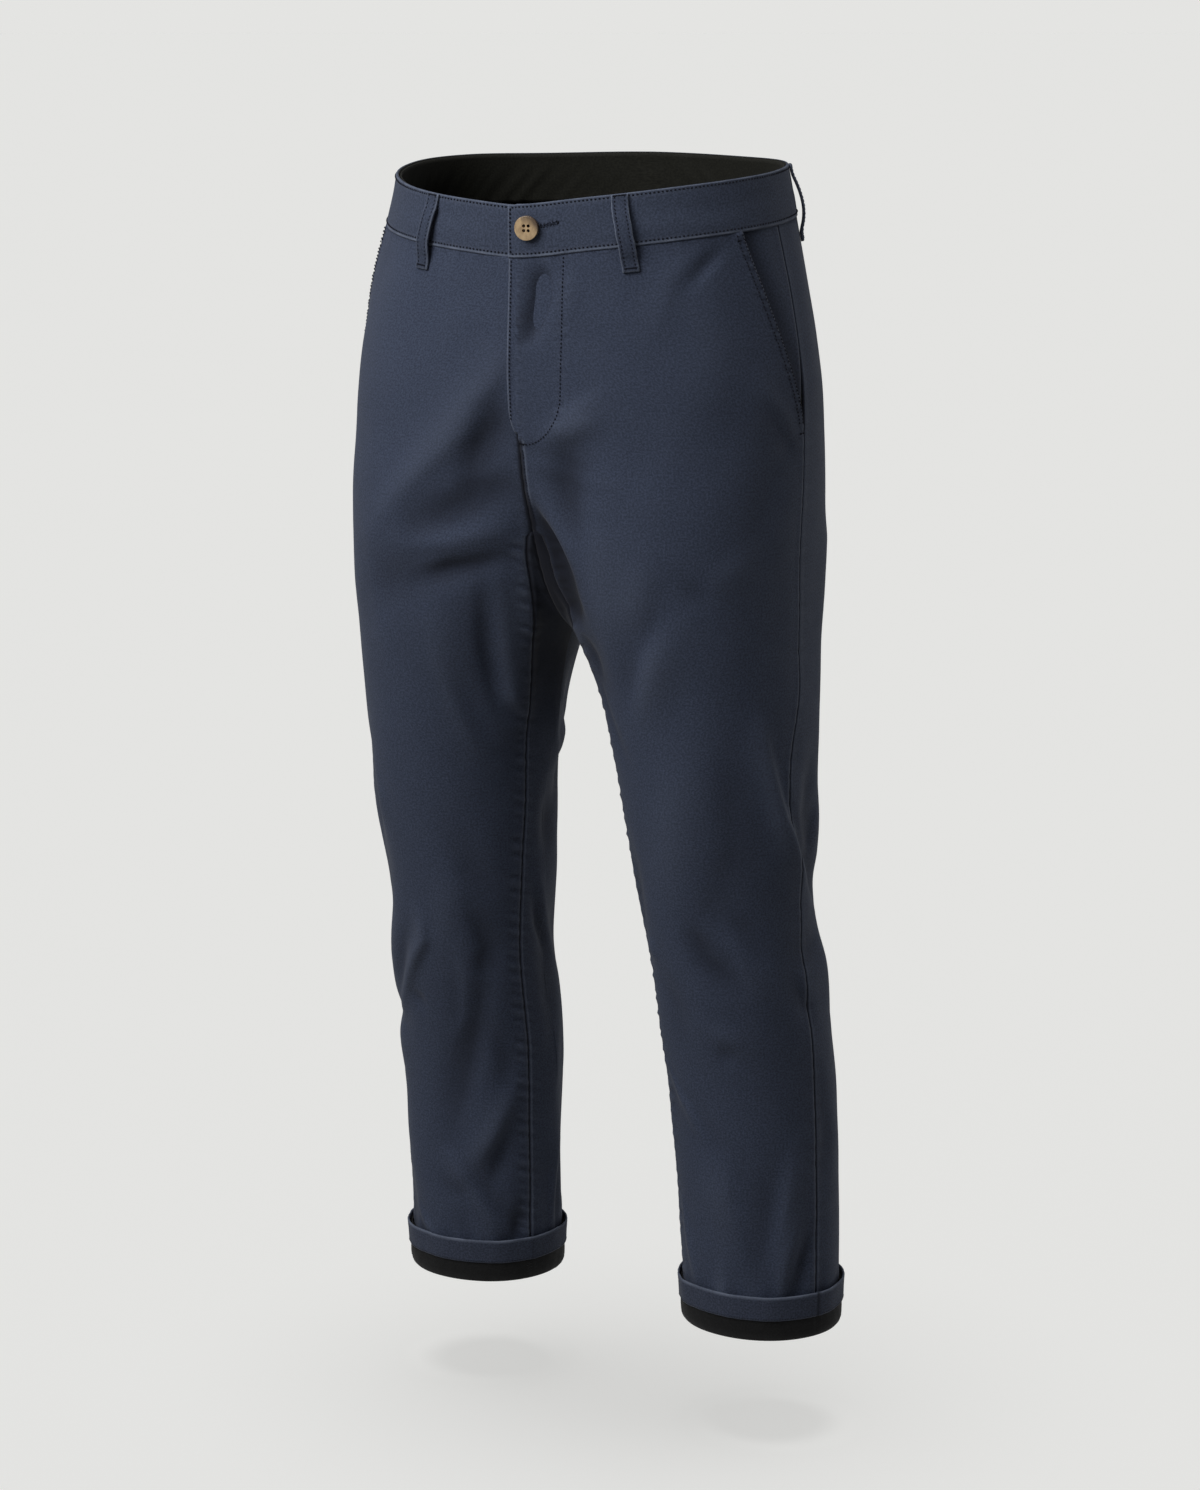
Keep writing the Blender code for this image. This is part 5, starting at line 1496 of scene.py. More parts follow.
    def relief(self, depth: float, places: Points) -> Points:
        """Faint lengthwise creases and the pull of the stitching on the band's face."""
        total = np.zeros(places.shape)
        run = places * self.side / MM
        for level, start, end, width, height in self.creases:
            fade = ease((run - start) / 40) * ease((end - run) / 40)
            wander = 2.5 * ripple(places, 110 * MM, level) * MM
            total += height * MM * fade * bell(depth - level * MM - wander, width * MM)
        pull = sum(bell(depth - row, 4 * MM) for row in self.stitch_rows)
        return total + 0.13 * MM * pull * ripple(places, 7.5 * MM, 2.0 + self.side)

    def tube(self, rows: list[Points], coords: list[Points], wears: list[Points],
             grooves: list[Points]) -> bpy.types.Object:
        """Args:
            rows: Points of each row of the profile.
            coords: Their cloth coordinates.
            wears: Their rubbed shares.
            grooves: Their darkened shares.

        Returns:
            The band.
        """
        node = f"waistband_{self.side.word}"
        skin = Skin(f"{node}_cloth")
        grid = skin.grid(rows, np.clip(wears, 0, 1), np.clip(grooves, 0, 1))
        count, width = len(grid), len(grid[0])
        for r in range(count):
            lower = (r + 1) % count
            inner = self.profile[r][1] < -0.5 and self.profile[lower][1] < -0.5
            for k in range(width - 1):
                places = [(r, k), (r, k + 1), (lower, k + 1), (lower, k)]
                if self.side == Side.RIGHT:
                    places.reverse()
                skin.face([grid[a][b] for a, b in places], [coords[a][b] for a, b in places], int(inner))
        for k in (0, width - 1):
            skin.shape.faces.new([line[k] for line in grid])
        bmesh.ops.recalc_face_normals(skin.shape, faces=skin.shape.faces)
        return skin.finish(node, self.wardrobe.twill["band"], self.wardrobe.twill["inside"])


@dataclass
class WaistbandLining(Piece):
    """Black inner band of the waist."""

    sink: float = 2.4 * MM
    wall: float = 1.2 * MM
    start_x: float = 45 * MM
    wrinkle: float = 1.1 * MM
    columns: int = 130
    column_step: float = 3.2 * MM

    def build(self) -> None:
        form = self.cloth.form
        outer_rows, inner_rows, coords = [], [], []
        for depth in np.linspace(1.0 * MM, 39.5 * MM, 16):
            outer, inner = [], []
            for side in Side:
                front = -form.angle_across(side, depth, self.start_x, False)
                angles = np.linspace(front, form.open_angle(side, depth, behind=True), self.columns)
                wave = ripple(angles * form.radius(side, depth) + 0.7 * depth, 31 * MM, 3.0 + side)
                drop = ease((depth - 3 * MM) / (20 * MM))
                far_out = -self.sink - self.wall - self.wrinkle * abs(wave) * drop
                near = list(self.cloth.place(side, depth, angles, -self.sink, fine=False))
                far = list(self.cloth.place(side, depth, angles, far_out, fine=False))
                outer += near if side == Side.LEFT else near[::-1][1:]
                inner += far if side == Side.LEFT else far[::-1][1:]
            outer_rows.append(outer)
            inner_rows.append(inner)
            coords.append([(k * self.column_step, -depth) for k in range(len(outer))])
        shell = Shell("waistband_lining_cloth")
        shell.add(Strip(np.array(outer_rows), np.array(inner_rows), np.array(coords)), False)
        inside = self.wardrobe.twill["inside"]
        lining = shell.build("waistband_lining", inside, inside)


class LoopPlace(Enum):
    """Where a belt loop is sewn: its name, its side and its angle in degrees."""

    FRONT_LEFT = ("front_left", Side.LEFT, -62.5)
    FRONT_RIGHT = ("front_right", Side.RIGHT, -62.0)
    BACK_LEFT = ("back_left", Side.LEFT, 20.0)
    BACK_RIGHT = ("back_right", Side.RIGHT, 20.0)
    CENTRE = ("centre", Side.LEFT, None)


@dataclass
class BeltLoop(Piece):
    """A folded strip that stands off the waistband, with two rows of stitching and bartacked ends."""

    where: LoopPlace
    width: float = 13 * MM
    wall: float = 2.2 * MM
    stand_off: Rows = (
        (0.5, 0.9), (3, 1.1), (8, 1.7), (16, 3.8), (26, 5.3), (36, 5.2), (44, 3.6), (50, 1.2), (53, 0.1),
        (59, 0.0),
    )
    columns: tuple[float, ...] = (0.0, 0.35, 0.54, 0.6, 0.66, 0.76, 0.86, 0.93, 0.975, 1.0)
    stitch_columns: tuple[int, int] = (6, 12)
    bartack_rows: tuple[int, int] = (3, -5)

    def spine(self, depths: Points, out: Points) -> tuple[Points, Points]:
        """Middle points of the loop and the direction across it.

        Args:
            depths: Depths along the loop.
            out: Distances out of the form.

        Returns:
            The points and the directions.
        """
        _, side, degrees = self.where.value
        if degrees is None:
            angle = self.cloth.form.open_angle(side, depths, behind=True)
            middle = self.cloth.place(side, depths, angle, out, fine=False)
            return middle, np.array([[1.0, 0.0, 0.0]] * len(depths))
        angle = math.radians(degrees)
        middle = self.cloth.place(side, depths, angle, out, fine=False)
        return middle, unit(self.cloth.place(side, depths, angle + 0.01, out, fine=False) - middle)

    def build(self) -> None:
        name, side, _ = self.where.value
        node = f"belt_loop_{name}"
        depths = np.concatenate([[0.5, 0.7, 1.0], np.arange(1.5, 57.6, 1.4), [58.2, 58.7, 59.0]]) * MM
        near = np.maximum(smooth_column(self.stand_off, 1, depths) * MM, 0)
        low, across = self.spine(depths, near)
        high, _ = self.spine(depths, near + self.wall)
        normal = unit(high - low)
        shares = np.array([*(-part for part in self.columns[:0:-1]), *self.columns])
        edge = np.abs(shares)
        face = 0.12 * (edge > 0.66) - 0.55 * bell(edge - 1, 0.06) - 0.22 * bell(edge - 0.6, 0.07)
        end_in = np.minimum(depths - depths[0], depths[-1] - depths)
        ends = 0.5 * ease((depths - 49 * MM) / (4 * MM)) - 0.5 * bell(end_in, 0.7 * MM)
        bunch = 0.10 * ripple(depths, 4.3 * MM, 1.0 + side)
        lift = (face[None, :] + ends[:, None] + bunch[:, None] * (edge > 0.5)[None, :]) * MM
        half = self.width / 2
        waver = 0.18 * MM * ripple(depths, 17 * MM, 2.0 + len(name))
        place = across[:, None, :] * (shares[None, :, None] * half + waver[:, None, None])
        outer = high[:, None, :] + place + normal[:, None, :] * lift[..., None]
        rolled = 0.15 * MM * bell(edge - 1, 0.08)
        inner = low[:, None, :] + place + normal[:, None, :] * rolled[None, :, None]
        coords = np.stack(np.meshgrid(shares * half, -depths), -1)
        wear_and_highlight = 0.55 * bell(edge - 0.96, 0.07)[None, :] + 0.35 * bell(end_in, 0.9 * MM)[:, None]
        shell = Shell(f"{node}_cloth")
        flip = side == Side.LEFT if self.where is LoopPlace.CENTRE else side == Side.RIGHT
        shell.add(Strip(outer, inner, coords, np.clip(wear_and_highlight, 0, 1)), flip)
        loop = shell.build(node, self.wardrobe.twill["loop"], self.wardrobe.twill["loop"])
        stitches = ThreadRun(f"{node}_stitches", pitch=3.1 * MM, radius=0.48 * MM, fill=0.52)
        for column in self.stitch_columns:
            stitches.sew(outer[2:-2, column], normal[2:-2])
        bar = Bartack(f"{node}_bartack", width=10.5 * MM, height=1.5 * MM)
        for row in self.bartack_rows:
            bar.tack(outer[row, len(shares) // 2] - normal[row] * 0.02 * MM, across[row], normal[row])
        for thread in (stitches, bar):
            thread.build(self.wardrobe.thread, node)


# Turn-ups


@dataclass
class LegEnd(Piece):
    """The turned-up end of a leg: a black facing round the hem fold and the navy band sewn to it.

    The columns of both profiles are height above the fold and distance out, in millimetres.
    """

    side: Side
    black: Rows = (
        (36, 1.5), (28, 1.7), (21, 1.9), (19.2, 2.1), (17, 2.35), (13, 2.6), (8, 2.6), (4.5, 2.3),
        (2.2, 1.5), (0.8, 0.3), (0.1, -1.2), (0.5, -2.6), (2.0, -3.4), (6, -3.6), (14, -3.6), (14.6, -3.0),
        (14, -2.5), (5, -2.2), (3.4, -1.2), (3.6, 0.0), (8, 0.5), (20, 0.4), (36, 0.4),
    )
    navy: Rows = (
        (19.0, 2.5), (18.7, 3.2), (19.2, 3.75), (20.4, 3.95), (22.4, 3.95), (25, 4.05), (29, 4.2),
        (33, 4.35), (36.5, 4.55), (38.4, 4.6), (39.2, 4.2), (39.3, 3.6), (38.6, 3.0), (36, 2.8), (30, 2.6),
        (22, 2.5),
    )
    columns: int = 150
    sway: float = 0.8 * MM

    def ring(self, node: str, profile: Rows, material: bpy.types.Material,
             wear_at: Callable[[float, float], float], lean: float) -> tuple[bpy.types.Object, Points]:
        """Closed ring round the leg's end.

        Args:
            node: The solid that it stands for.
            profile: Rows of height above the fold and distance out, in millimetres.
            material: Its finish.
            wear_at: Share of wear at a height and distance out, in millimetres.
            lean: How much the outer layers stand away unevenly, in millimetres.

        Returns:
            The piece and its points, by profile row and column.
        """
        form, count = self.cloth.form, self.columns
        angles = np.linspace(-math.pi, math.pi, count, endpoint=False)
        radius = float(form.radius(self.side, form.hem))
        run = angles * radius
        wander = self.sway * ripple(run, 150 * MM, 2.2 + self.side)
        seams = [self.cloth.gap(self.side, form.hem, angles, seam) for seam in self.seams()]
        rows = []
        for up, out in profile:
            outward = ease(np.array((out - 0.5) / 2.0))
            bump = sum(height * bell(seam, 3.0 * MM) for height, seam in zip((0.7, 0.6), seams))
            notch = -0.8 * sum(bell(seam, 1.0 * MM) for seam in seams)
            waves = lean * ripple(run, 43 * MM, 3.3 + self.side) * ease(np.array(up / 30.0))
            small = 0.14 * ripple(run + up * 0.4 * MM, 9.5 * MM, 6.0)
            depth = form.hem - up * MM + wander * ease(np.array(up / 12.0 + 0.4))
            move = out + (bump + notch + waves + small) * outward
            rows.append(self.cloth.place(self.side, depth, angles, move * MM, fine=False))
        dark = np.clip(0.8 * sum(bell(seam, 0.8 * MM) for seam in seams), 0, 1)
        rub = 0.8 + 0.2 * ripple(run, 31 * MM, 4.0)
        skin = Skin(f"{node}_cloth")
        wear_and_highlight = [wear_at(up, out) * rub for up, out in profile]
        grid = skin.grid(rows, wear_and_highlight, [dark * (out > 1) for _, out in profile])
        for r in range(len(grid)):
            lower = (r + 1) % len(grid)
            for k in range(count):
                spots = ((r, k), (lower, k), (lower, k + 1), (r, k + 1))
                skin.face([grid[a][b % count] for a, b in spots],
                          [(b * 2 * math.pi * radius / count, profile[a][0] * MM) for a, b in spots])
        bmesh.ops.recalc_face_normals(skin.shape, faces=skin.shape.faces)
        return skin.finish(node, material), np.array(rows)

    def seams(self) -> tuple[Points, Points]:
        """Angles of the inseam and the side seam at the hem."""
        form = self.cloth.form
        return form.inseam_angle(self.side, form.hem), form.side_seam_angle(form.hem)

    def build(self) -> None:
        word, wardrobe = self.side.word, self.wardrobe
        facing, black = self.ring(f"turnup_{word}", self.black, wardrobe.twill["black"],
                                  lambda up, out: 0.35 if up < 5 and out > 0.2 else 0.0, 0.25)
        band, navy = self.ring(f"hem_band_{word}", self.navy, wardrobe.twill["hem"],
                               lambda up, out: (out > 3) * (0.5 * (up > 37.5) + 0.3 * (up < 20)), 0.6)
        ticks = ThreadRun(f"hem_band_{word}_stitches", pitch=2.2 * MM, radius=0.2 * MM, fill=0.55)
        line = np.concatenate([navy, navy[:, :1]], axis=1)
        ticks.sew(line[3], unit(line[4] - line[13]))
        ticks.build(wardrobe.thread, f"hem_band_{word}")
        marks = Overlock(f"turnup_{word}_overlock")
        for seam in self.seams():
            column = int(round((float(seam) + math.pi) / (2 * math.pi) * self.columns)) % self.columns
            marks.zigzag(black[3:9, column], black[3:9, (column + 2) % self.columns])
        marks.build(wardrobe.black_thread, f"turnup_{word}")


# Stitching


@dataclass
class ThreadRun:
    """Rows of machine stitches, each a short arched bar of thread."""

    name: str
    pitch: float = 2.6 * MM
    radius: float = 0.25 * MM
    fill: float = 0.78
    rise: float = 0.22 * MM
    sides: int = 5
    rings: Rows = ((0.0, -0.9, 0.55), (0.12, 0.0, 1.0), (0.5, 1.0, 1.1), (0.88, 0.0, 1.0), (1.0, -0.9, 0.55))
    points: list[Points] = field(default_factory=list)
    faces: list[tuple[int, ...]] = field(default_factory=list)

    def bar(self, start: Points, end: Points, up_start: Points, up_end: Points) -> None:
        """Add one stitch between two points of the surface.

        Args:
            start: First point.
            end: Last point.
            up_start: Surface normal at the first point.
            up_end: Surface normal at the last point.
        """
        along = unit(end - start)
        base, sides = len(self.points), self.sides
        for share, height, size in self.rings:
            up = unit(up_start + (up_end - up_start) * share)
            across = unit(np.cross(along, up))
            centre = start + (end - start) * share + up * self.rise * height
            for k in range(sides):
                turn = 2 * math.pi * k / sides
                way = across * math.cos(turn) + up * math.sin(turn)
                self.points.append(centre + way * self.radius * size)
        last = len(self.points) - sides
        for here in range(base, last, sides):
            for k in range(sides):
                beside = (k + 1) % sides
                self.faces.append((here + k, here + sides + k, here + sides + beside, here + beside))
        self.faces += [tuple(range(base, base + sides)), tuple(range(last + sides - 1, last - 1, -1))]

    def sew(self, line: Points, normals: Points) -> None:
        """Lay stitches along a line of surface points.

        Args:
            line: Points of the line, in order.
            normals: Surface normals at the points.
        """
        run = distances(line)
        count = max(int(round(run[-1] / self.pitch)), 1)
        pitch = run[-1] / count
        for k, start in enumerate(np.arange(count) * pitch + pitch * (1 - self.fill) / 2):
            places = (start, start + pitch * self.fill * (1 + 0.06 * math.sin(2.7 * k)))
            ends = [np.array([np.interp(place, run, part) for part in line.T]) for place in places]
            ups = [unit(np.array([np.interp(place, run, part) for part in normals.T])) for place in places]
            self.bar(*ends, *ups)

    def build(self, material: bpy.types.Material, slot: str) -> None:
        """Args:
            material: The thread's finish.
            slot: Not used.
        """
        mesh = bpy.data.meshes.new(self.name)
        mesh.from_pydata([tuple(point) for point in self.points], [], self.faces)
        shape = bmesh.new()
        shape.from_mesh(mesh)
        bmesh.ops.recalc_face_normals(shape, faces=shape.faces)
        shape.to_mesh(mesh)
        shape.free()
        mesh.shade_smooth()
        declare(show(mesh, material), slot, replaces=False)


@dataclass
class Bartack(ThreadRun):
    """Short dense bars of thread that lock the end of an opening or a loop."""

    width: float = 10 * MM
    height: float = 1.6 * MM
    pitch: float = 0.42 * MM
    radius: float = 0.2 * MM
    rise: float = 0.16 * MM
    sides: int = 4

    def tack(self, middle: Points, across: Points, up: Points) -> None:
        """Sew one bartack.

        Args:
            middle: Its middle on the surface.
            across: Direction of its length.
            up: Surface normal.
        """
        along = unit(np.cross(up, across))
        lean = across * 0.12 * MM
        count = int(self.width / self.pitch)
        for k in range(count):
            place = middle + across * ((k + 0.5) / count - 0.5) * self.width
            reach = along * self.height / 2 * (1 + 0.12 * math.sin(3.9 * k))
            self.bar(place - reach - lean, place + reach + lean, up, up)


@dataclass
class Overlock(ThreadRun):
    """The zigzag of an overlocked seam where it crosses the turned-up facing."""

    radius: float = 0.16 * MM
    rise: float = 0.12 * MM
    sides: int = 4
    turns: int = 9

    def zigzag(self, first: Points, second: Points) -> None:
        """Sew a zigzag between two rails of surface points.

        Args:
            first: Points of the rail that it starts on.
            second: Points of the other rail.
        """
        up = unit(np.cross(second[0] - first[0], first[-1] - first[0]))
        at = np.arange(len(first))
        for k in range(self.turns):
            ends = []
            for step, rail in ((k, first), (k + 0.5, second), (k + 1, first)):
                ends.append(np.array([np.interp(step / self.turns * at[-1], at, part) for part in rail.T]))
            self.bar(ends[0], ends[1], up, up)
            self.bar(ends[1], ends[2], up, up)


@dataclass
class Topstitching(Piece):
    """All the stitching that shows on the panels and the waistband."""

    bands: dict[Side, Waistband]
    edge_x: float = -5.6 * MM
    pocket_insets: tuple[float, float] = (1.9 * MM, 7.4 * MM)

    def build(self) -> None:
        """Sew every row."""
        for side in Side:
            self.waistband(side)
            self.pocket(side)
        self.fly()

    def waistband(self, side: Side) -> None:
        """Two rows along the waistband and one across its end."""
        form, band = self.cloth.form, self.bands[side]
        run = ThreadRun(f"waistband_{side.word}_stitches", pitch=3.2 * MM, radius=0.64 * MM, fill=0.50)
        for depth in band.stitch_rows:
            closed = form.open_angle(side, depth, behind=True)
            angles = np.linspace(-form.open_angle(side, depth), closed - 0.004, 420)
            x, y = form.outline(side, np.full(420, depth), angles)
            out = 1.0 * MM + np.where(y < 0, band.out_at(side * x), 0)
            line, normals = self.cloth.line(side, depth, angles, out, fine=False)
            if side == Side.LEFT:
                past = np.linspace(band.lap_end + 2.6 * MM, 0, 6)[:-1]
                ahead, ups = self.cloth.front_line(past, depth, 1.0 * MM + band.out_at(past), fine=False)
                line, normals = np.concatenate([ahead, line]), np.concatenate([ups, normals])
            run.sew(line, normals)
        if side == Side.LEFT:
            x = band.lap_end + 2.5 * MM
            depths = np.linspace(*band.stitch_rows, 20)
            run.sew(*self.cloth.front_line(x, depths, 1.45 * MM + band.out_at(x), fine=False))
        run.build(self.wardrobe.thread, f"waistband_{side.word}")

    def pocket(self, side: Side) -> None:
        """Two rows beside the pocket's edge, and a bartack at each end."""
        form = self.cloth.form
        run = ThreadRun(f"pocket_{side.word}_stitches", pitch=3.1 * MM, radius=0.50 * MM, fill=0.52)
        depths = np.linspace(form.band + 0.5 * MM, form.pocket_end - 3 * MM, 120)
        for inset in self.pocket_insets:
            angles = form.pocket_angle(depths) - inset / form.radius(side, depths)
            lift = 1.3 * MM * bell(inset, 9 * MM) * ease((form.pocket_end - depths) / (12 * MM))
            run.sew(*self.cloth.line(side, depths, angles, lift + 0.3 * MM))
        bars = Bartack(f"pocket_{side.word}_bartacks", width=8 * MM)
        for depth, lift in ((form.band + 6 * MM, 0.9 * MM), (form.pocket_end + 4 * MM, 0.1 * MM)):
            depths = np.array([depth, depth])
            angles = form.pocket_angle(depths) - np.array([4.0, 3.0]) * MM / form.radius(side, depths)
            points, ups = self.cloth.line(side, depths, angles, lift)
            bars.tack(points[0], unit(points[1] - points[0]), ups[0])
        for thread in (run, bars):
            thread.build(self.wardrobe.thread, f"front_{side.word}")

    def on_fly(self, depths: Points, x: Points, lift: float) -> tuple[Points, Points]:
        """A line on the left front beside the fly, with its normals.

        Args:
            depths: Its depths.
            x: Its distances from the middle plane.
            lift: How far it lies out of the cloth.

        Returns:
            The line and its normals.
        """
        angles = -self.cloth.form.angle_across(Side.LEFT, depths, x, False)
        rise = self.cloth.fly_rise(Side.LEFT, depths, angles)
        return self.cloth.line(Side.LEFT, depths, angles, rise + lift)

    def fly(self) -> None:
        """The curved row of the fly, the row beside its edge, its bartack and the rise's row."""
        form, cloth = self.cloth.form, self.cloth
        run = ThreadRun("fly_stitches", pitch=3.1 * MM, radius=0.46 * MM, fill=0.52)
        curve = cloth.top_stitch_turn + cloth.top_stitch_drop * np.sin(np.linspace(0, math.pi / 2, 50))
        depths = np.concatenate([np.linspace(form.band + 1 * MM, cloth.top_stitch_turn, 60)[:-1], curve])
        run.sew(*self.on_fly(depths, cloth.top_stitch_line(depths), 0.25 * MM))
        depths = np.linspace(form.band + 1 * MM, form.fly_end - 12 * MM, 90)
        run.sew(*cloth.front_line(self.edge_x, depths, cloth.fly_step + 0.5 * MM))
        bars = Bartack("fly_bartacks", width=7 * MM)
        points, ups = self.on_fly(np.full(2, 197 * MM), np.array([3.5, 4.5]) * MM, 0.1 * MM)
        bars.tack(points[0], unit(points[1] - points[0]), ups[0])
        rise_run = ThreadRun("rise_stitches", pitch=2.9 * MM, radius=0.2 * MM)
        depths = np.linspace(form.fly_end + 12 * MM, form.fork - 4 * MM, 50)
        rise_run.sew(*self.on_fly(depths, np.full(50, 2.6 * MM), 0.2 * MM))
        for thread in (run, bars, rise_run):
            thread.build(self.wardrobe.thread, "front_left")


# Button


@dataclass
class Fastening(Piece):
    """The horn button, the thread that holds it and the buttonhole beside it."""

    band: Waistband
    x: float = 9.6 * MM
    depth: float = 17.6 * MM
    radius: float = 9.3 * MM
    turn: float = 0.15
    thick: float = 3.6 * MM
    rim: float = 2.2 * MM
    clear: float = 0.45 * MM
    hole_radius: float = 1.25 * MM
    hole_reach: float = 2.55 * MM
    hole_end: float = 33 * MM
    slope: float = 1.6 * MM

    def build(self) -> None:
        """Make the button, its thread and the buttonhole."""
        out = 1 * MM + self.band.out_at(self.x)
        points, ups = self.cloth.front_line(np.array([self.x]), self.depth, out, fine=False)
        normal = (Vector(ups[0]) + Vector((self.turn, 0, 0))).normalized()
        seat = Vector(points[0]) + normal * (self.clear + self.turn * self.radius)
        stand = Matrix.Translation(seat) @ normal.to_track_quat("Z", "Y").to_matrix().to_4x4()
        button = self.model_button()
        button.data.transform(stand)
        button.data.materials.append(self.wardrobe.horn)
        declare(button, "button")
        self.sew_on(stand)
        self.buttonhole()

    def holes(self) -> list[Vector]:
        """Middles of the four holes, in the button's own place."""
        turns = [math.pi / 4 + k * math.pi / 2 for k in range(4)]
        return [Vector((math.cos(turn), math.sin(turn), 0)) * self.hole_reach for turn in turns]

    def model_button(self) -> bpy.types.Object:
        """Model the button at the origin, facing up: a disc with a rim, a dished face and four holes."""
        bpy.ops.object.select_all(action="DESELECT")
        middle = Vector((0, 0, self.thick / 2))
        bpy.ops.mesh.primitive_cylinder_add(vertices=72, radius=self.radius, depth=self.thick,
                                            location=middle)
        button = bpy.context.active_object
        button.name = button.data.name = "button_horn"
        bpy.ops.object.mode_set(mode="EDIT")
        self.select_face(button, self.thick)
        for thickness, depth in ((self.rim, 0), (0.9 * MM, -1.0 * MM), (2.6 * MM, -0.15 * MM)):
            bpy.ops.mesh.inset(thickness=thickness, depth=depth)
        self.select_face(button, 0.0)
        bpy.ops.mesh.inset(thickness=1.6 * MM, depth=0.5 * MM)
        bpy.ops.object.mode_set(mode="OBJECT")
        self.round_edges(button)
        for hole in self.holes():
            bpy.ops.object.select_all(action="DESELECT")
            bpy.ops.mesh.primitive_cylinder_add(vertices=24, radius=self.hole_radius, depth=3 * self.thick,
                                                location=hole + middle)
            cutter = bpy.context.active_object
            cut = button.modifiers.new("hole", "BOOLEAN")
            cut.operation = "DIFFERENCE"
            cut.solver = "EXACT"
            cut.object = cutter
            bpy.context.view_layer.objects.active = button
            bpy.ops.object.modifier_apply(modifier=cut.name)
            bpy.data.objects.remove(cutter, do_unlink=True)
        button.location = (0, 0, 0)
        button.data.shade_smooth()
        button.data.set_sharp_from_angle(angle=math.radians(42))
        return button

    @staticmethod
    def select_face(piece: bpy.types.Object, height: float) -> None:
        """Select the large level face at a height."""
        bpy.ops.mesh.select_all(action="DESELECT")
        bpy.ops.mesh.select_mode(type="FACE")
        shape = bmesh.from_edit_mesh(piece.data)
        for face in shape.faces:
            level = all(abs(vert.co.z - height) < 0.01 * MM for vert in face.verts)
            face.select_set(level and len(face.verts) > 20)
        bmesh.update_edit_mesh(piece.data)

    @staticmethod
    def round_edges(piece: bpy.types.Object) -> None:
        """Round the rim's edges and the step into the dished face with a live bevel, then apply it."""
        bevel = piece.modifiers.new("rounded", "BEVEL")
        bevel.width = 0.42 * MM
        bevel.segments = 4
        bevel.limit_method = "ANGLE"
        bevel.angle_limit = math.radians(24)
        bpy.ops.object.select_all(action="DESELECT")
        piece.select_set(True)
        bpy.context.view_layer.objects.active = piece
        # The place is moved into the mesh first, so that the bevel works on the final size.
        bpy.ops.object.transform_apply(location=True, rotation=True, scale=True)
        bpy.ops.object.modifier_apply(modifier=bevel.name)

    def sew_on(self, stand: Matrix) -> None:
        """Thread in the four holes and the shank between the button and the band."""
        run = ThreadRun("button_thread", radius=0.34 * MM, rise=0.1 * MM, sides=6)
        up = np.array(stand.to_3x3() @ Vector((0, 0, 1)))
        for hole in self.holes():
            for offset in (-0.38 * MM, 0.38 * MM):
                spot = hole + Vector((offset, 0, 0))
                low = np.array(stand @ (spot * 0.55 + Vector((0, 0, -1.6 * MM))))
                high = np.array(stand @ (spot + Vector((0, 0, 0.6 * MM))))
                side_up = unit(np.cross(up, high - low + 1e-6))
                run.bar(low, high, side_up, side_up)
        run.build(self.wardrobe.thread, "button")

    def buttonhole(self) -> None:
        """The worked buttonhole: close bars of thread on both sides of a slit, and a bar across its end."""
        start, end = self.x + self.radius - 1.5 * MM, self.hole_end
        run = ThreadRun("buttonhole_thread", radius=0.24 * MM, rise=0.2 * MM, sides=4)
        count = int((end - start) / (0.62 * MM))
        bars = []
        for k in range(count):
            share = (k + 0.5) / count
            x = start + share * (end - start) + np.array([0.0, 0.35 * math.sin(4.7 * k)]) * MM
            level = self.depth - self.slope * share + 0.45 * MM * math.sin(1.3 * k)
            for way in (-1, 1):
                length = 1.3 + 0.8 * math.sin(2.9 * k + way)
                bars.append((x, level + way * np.array([0.1, length]) * MM, 1.36 * MM))
        for k in range(3):
            x = np.full(2, end + k * 0.5 * MM)
            bars.append((x, self.depth - self.slope + np.array([-1.2, 1.3]) * MM, 1.38 * MM))
        for x, depths, out in bars:
            points, ups = self.cloth.front_line(x, depths, out + self.band.out_at(x), fine=False)
            run.bar(*points, *ups)
        run.build(self.wardrobe.thread, "waistband_left")


# Studio


@dataclass(frozen=True)
class SoftLight:
    """A soft light: where it stands as seen from the camera, how wide it looks and how strong it is.

    A light with a distance is a soft box that stands so far from the middle of the legs. The others are
    far away.
    """

    name: str
    right: float
    toward: float
    up: float
    width: float
    strength: float
    distance: float = 0.0
    on_floor: bool = False


